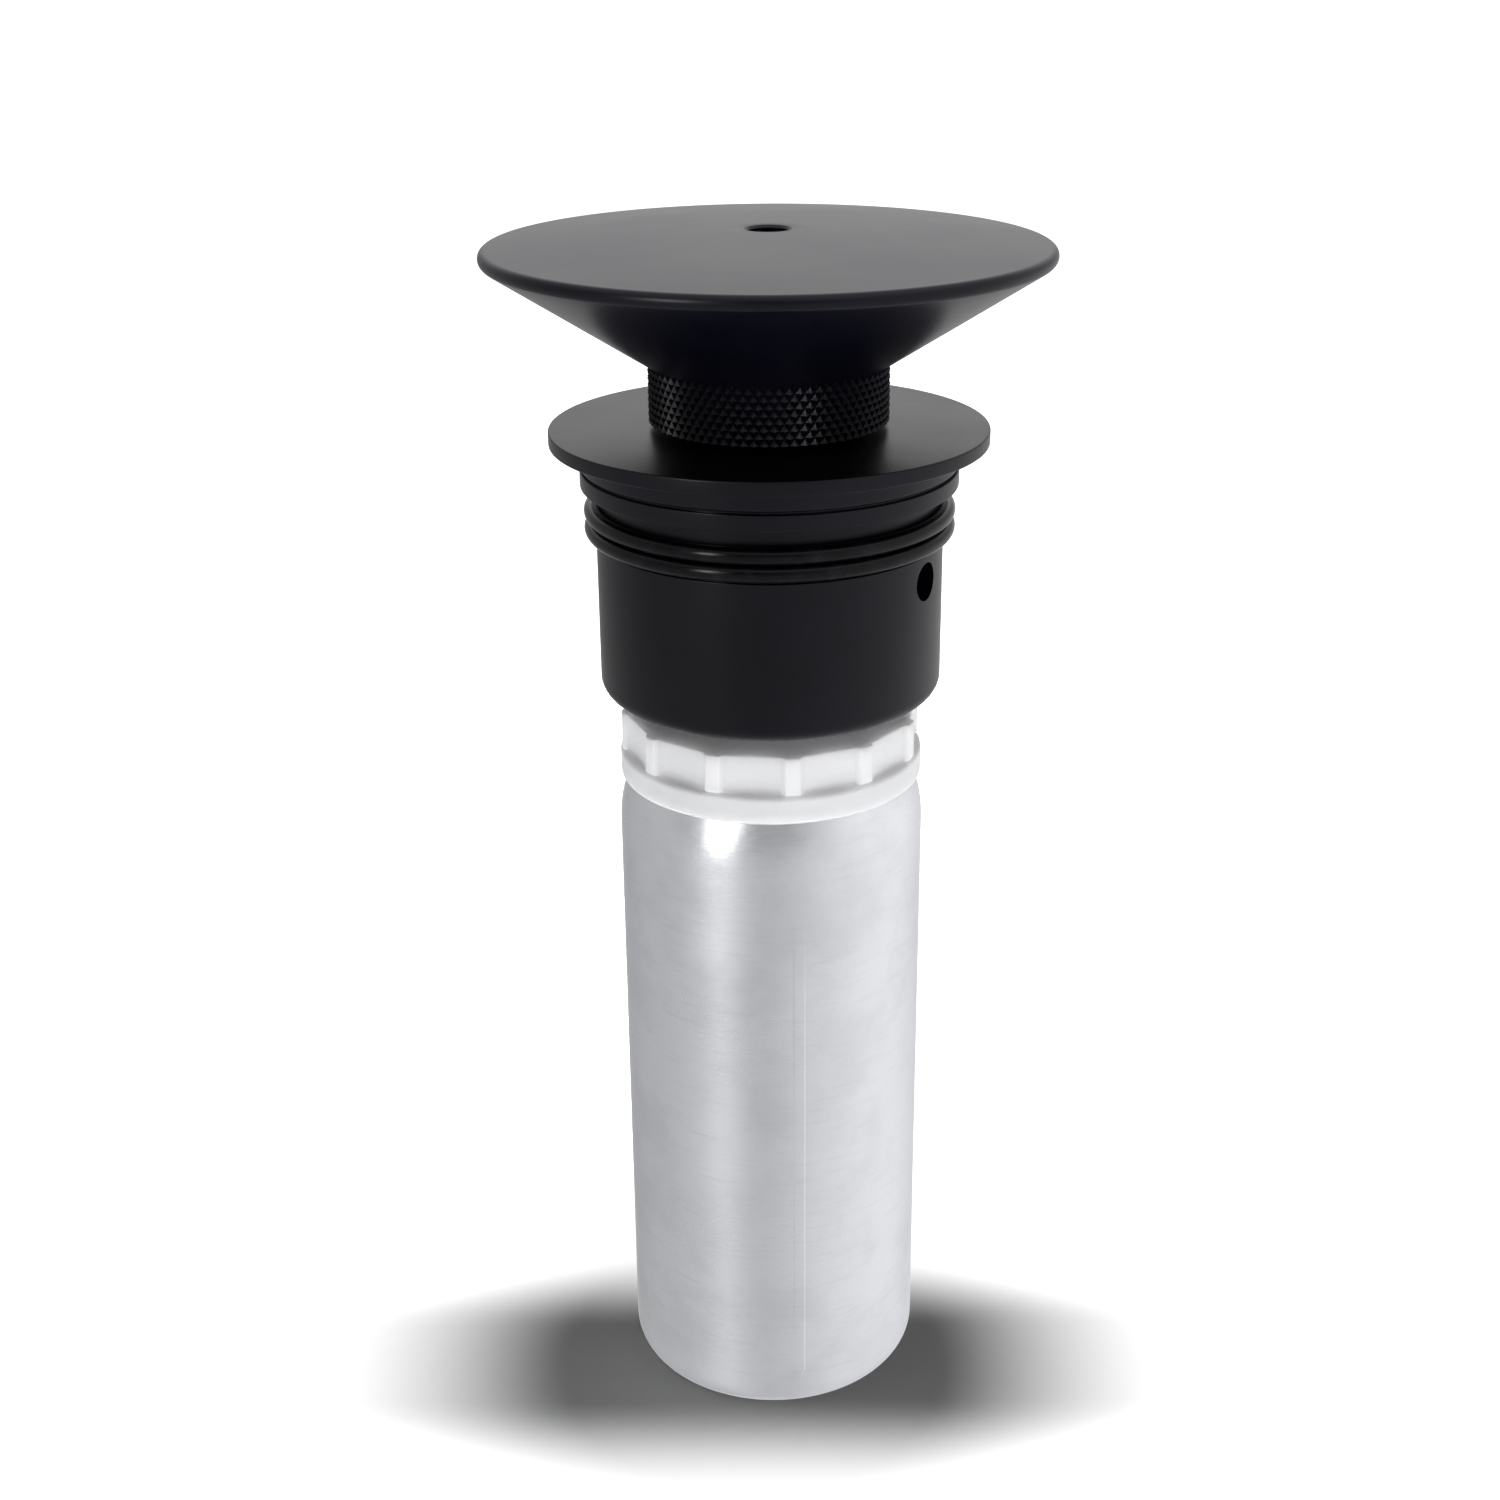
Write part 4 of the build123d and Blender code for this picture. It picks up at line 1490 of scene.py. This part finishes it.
    def execute(self, context):
        settings = context.scene.dewar_stage
        context.scene.view_settings.view_transform = "Standard"
        self.floor(settings)
        self.tent(settings)
        self.lamps(settings)
        self.camera(settings)
        return {"FINISHED"}


PANEL_ROWS = (
    ("Flask", "dewar_flask", "colour roughness brushing strip_azimuth strip_height"),
    ("Ring", "dewar_ring", "colour shade rib_count rib_width first_rib"),
    ("Black Parts", "dewar_black", "colour bloom roughness ior knurl_count knurl_rows knurl_depth"),
    ("Stage", "dewar_stage", "lens distance camera_height pitch floor_colour sky_strength"),
)


class DEWAR_PT_pieces(bpy.types.Panel):
    """Lists the steps that build the dewar, with the settings that they use"""

    bl_label = "Nitrogen Dewar"
    bl_idname = "DEWAR_PT_pieces"
    bl_space_type = "VIEW_3D"
    bl_region_type = "UI"
    bl_category = "Dewar"

    def draw(self, context):
        layout = self.layout
        for title, group, names in PANEL_ROWS:
            box = layout.box()
            box.label(text=title)
            for name in names.split():
                box.prop(getattr(context.scene, group), name)
        for operator in OPERATORS:
            layout.operator(operator.bl_idname)


OPERATORS = (
    DEWAR_OT_flask_shell,
    DEWAR_OT_flask_inside,
    DEWAR_OT_neck_ring,
    DEWAR_OT_plug_body,
    DEWAR_OT_o_rings,
    DEWAR_OT_flange_plate,
    DEWAR_OT_filling_parts,
    DEWAR_OT_knurled_collar,
    DEWAR_OT_cap,
    DEWAR_OT_stage,
)
SETTINGS = (
    ("dewar_flask", FlaskSettings),
    ("dewar_ring", RingSettings),
    ("dewar_black", BlackSettings),
    ("dewar_stage", StageSettings),
)


def register():
    for name, group in SETTINGS:
        bpy.utils.register_class(group)
        setattr(bpy.types.Scene, name, PointerProperty(type=group))
    bpy.types.Scene.dewar_rubber = PointerProperty(type=bpy.types.Material)
    for operator in OPERATORS:
        bpy.utils.register_class(operator)
    bpy.utils.register_class(DEWAR_PT_pieces)


def unregister():
    bpy.utils.unregister_class(DEWAR_PT_pieces)
    for operator in reversed(OPERATORS):
        bpy.utils.unregister_class(operator)
    del bpy.types.Scene.dewar_rubber
    for name, group in reversed(SETTINGS):
        delattr(bpy.types.Scene, name)
        bpy.utils.unregister_class(group)


def main():
    register()
    bpy.context.scene.dewar_rubber = black_rubber()
    bpy.ops.dewar.flask_shell()
    bpy.ops.dewar.flask_inside()
    bpy.ops.dewar.neck_ring()
    bpy.ops.dewar.plug_body()
    bpy.ops.dewar.o_rings()
    bpy.ops.dewar.flange_plate()
    bpy.ops.dewar.filling_parts()
    bpy.ops.dewar.knurled_collar()
    bpy.ops.dewar.cap()
    bpy.ops.dewar.stage()


if __name__ == "__main__":
    main()
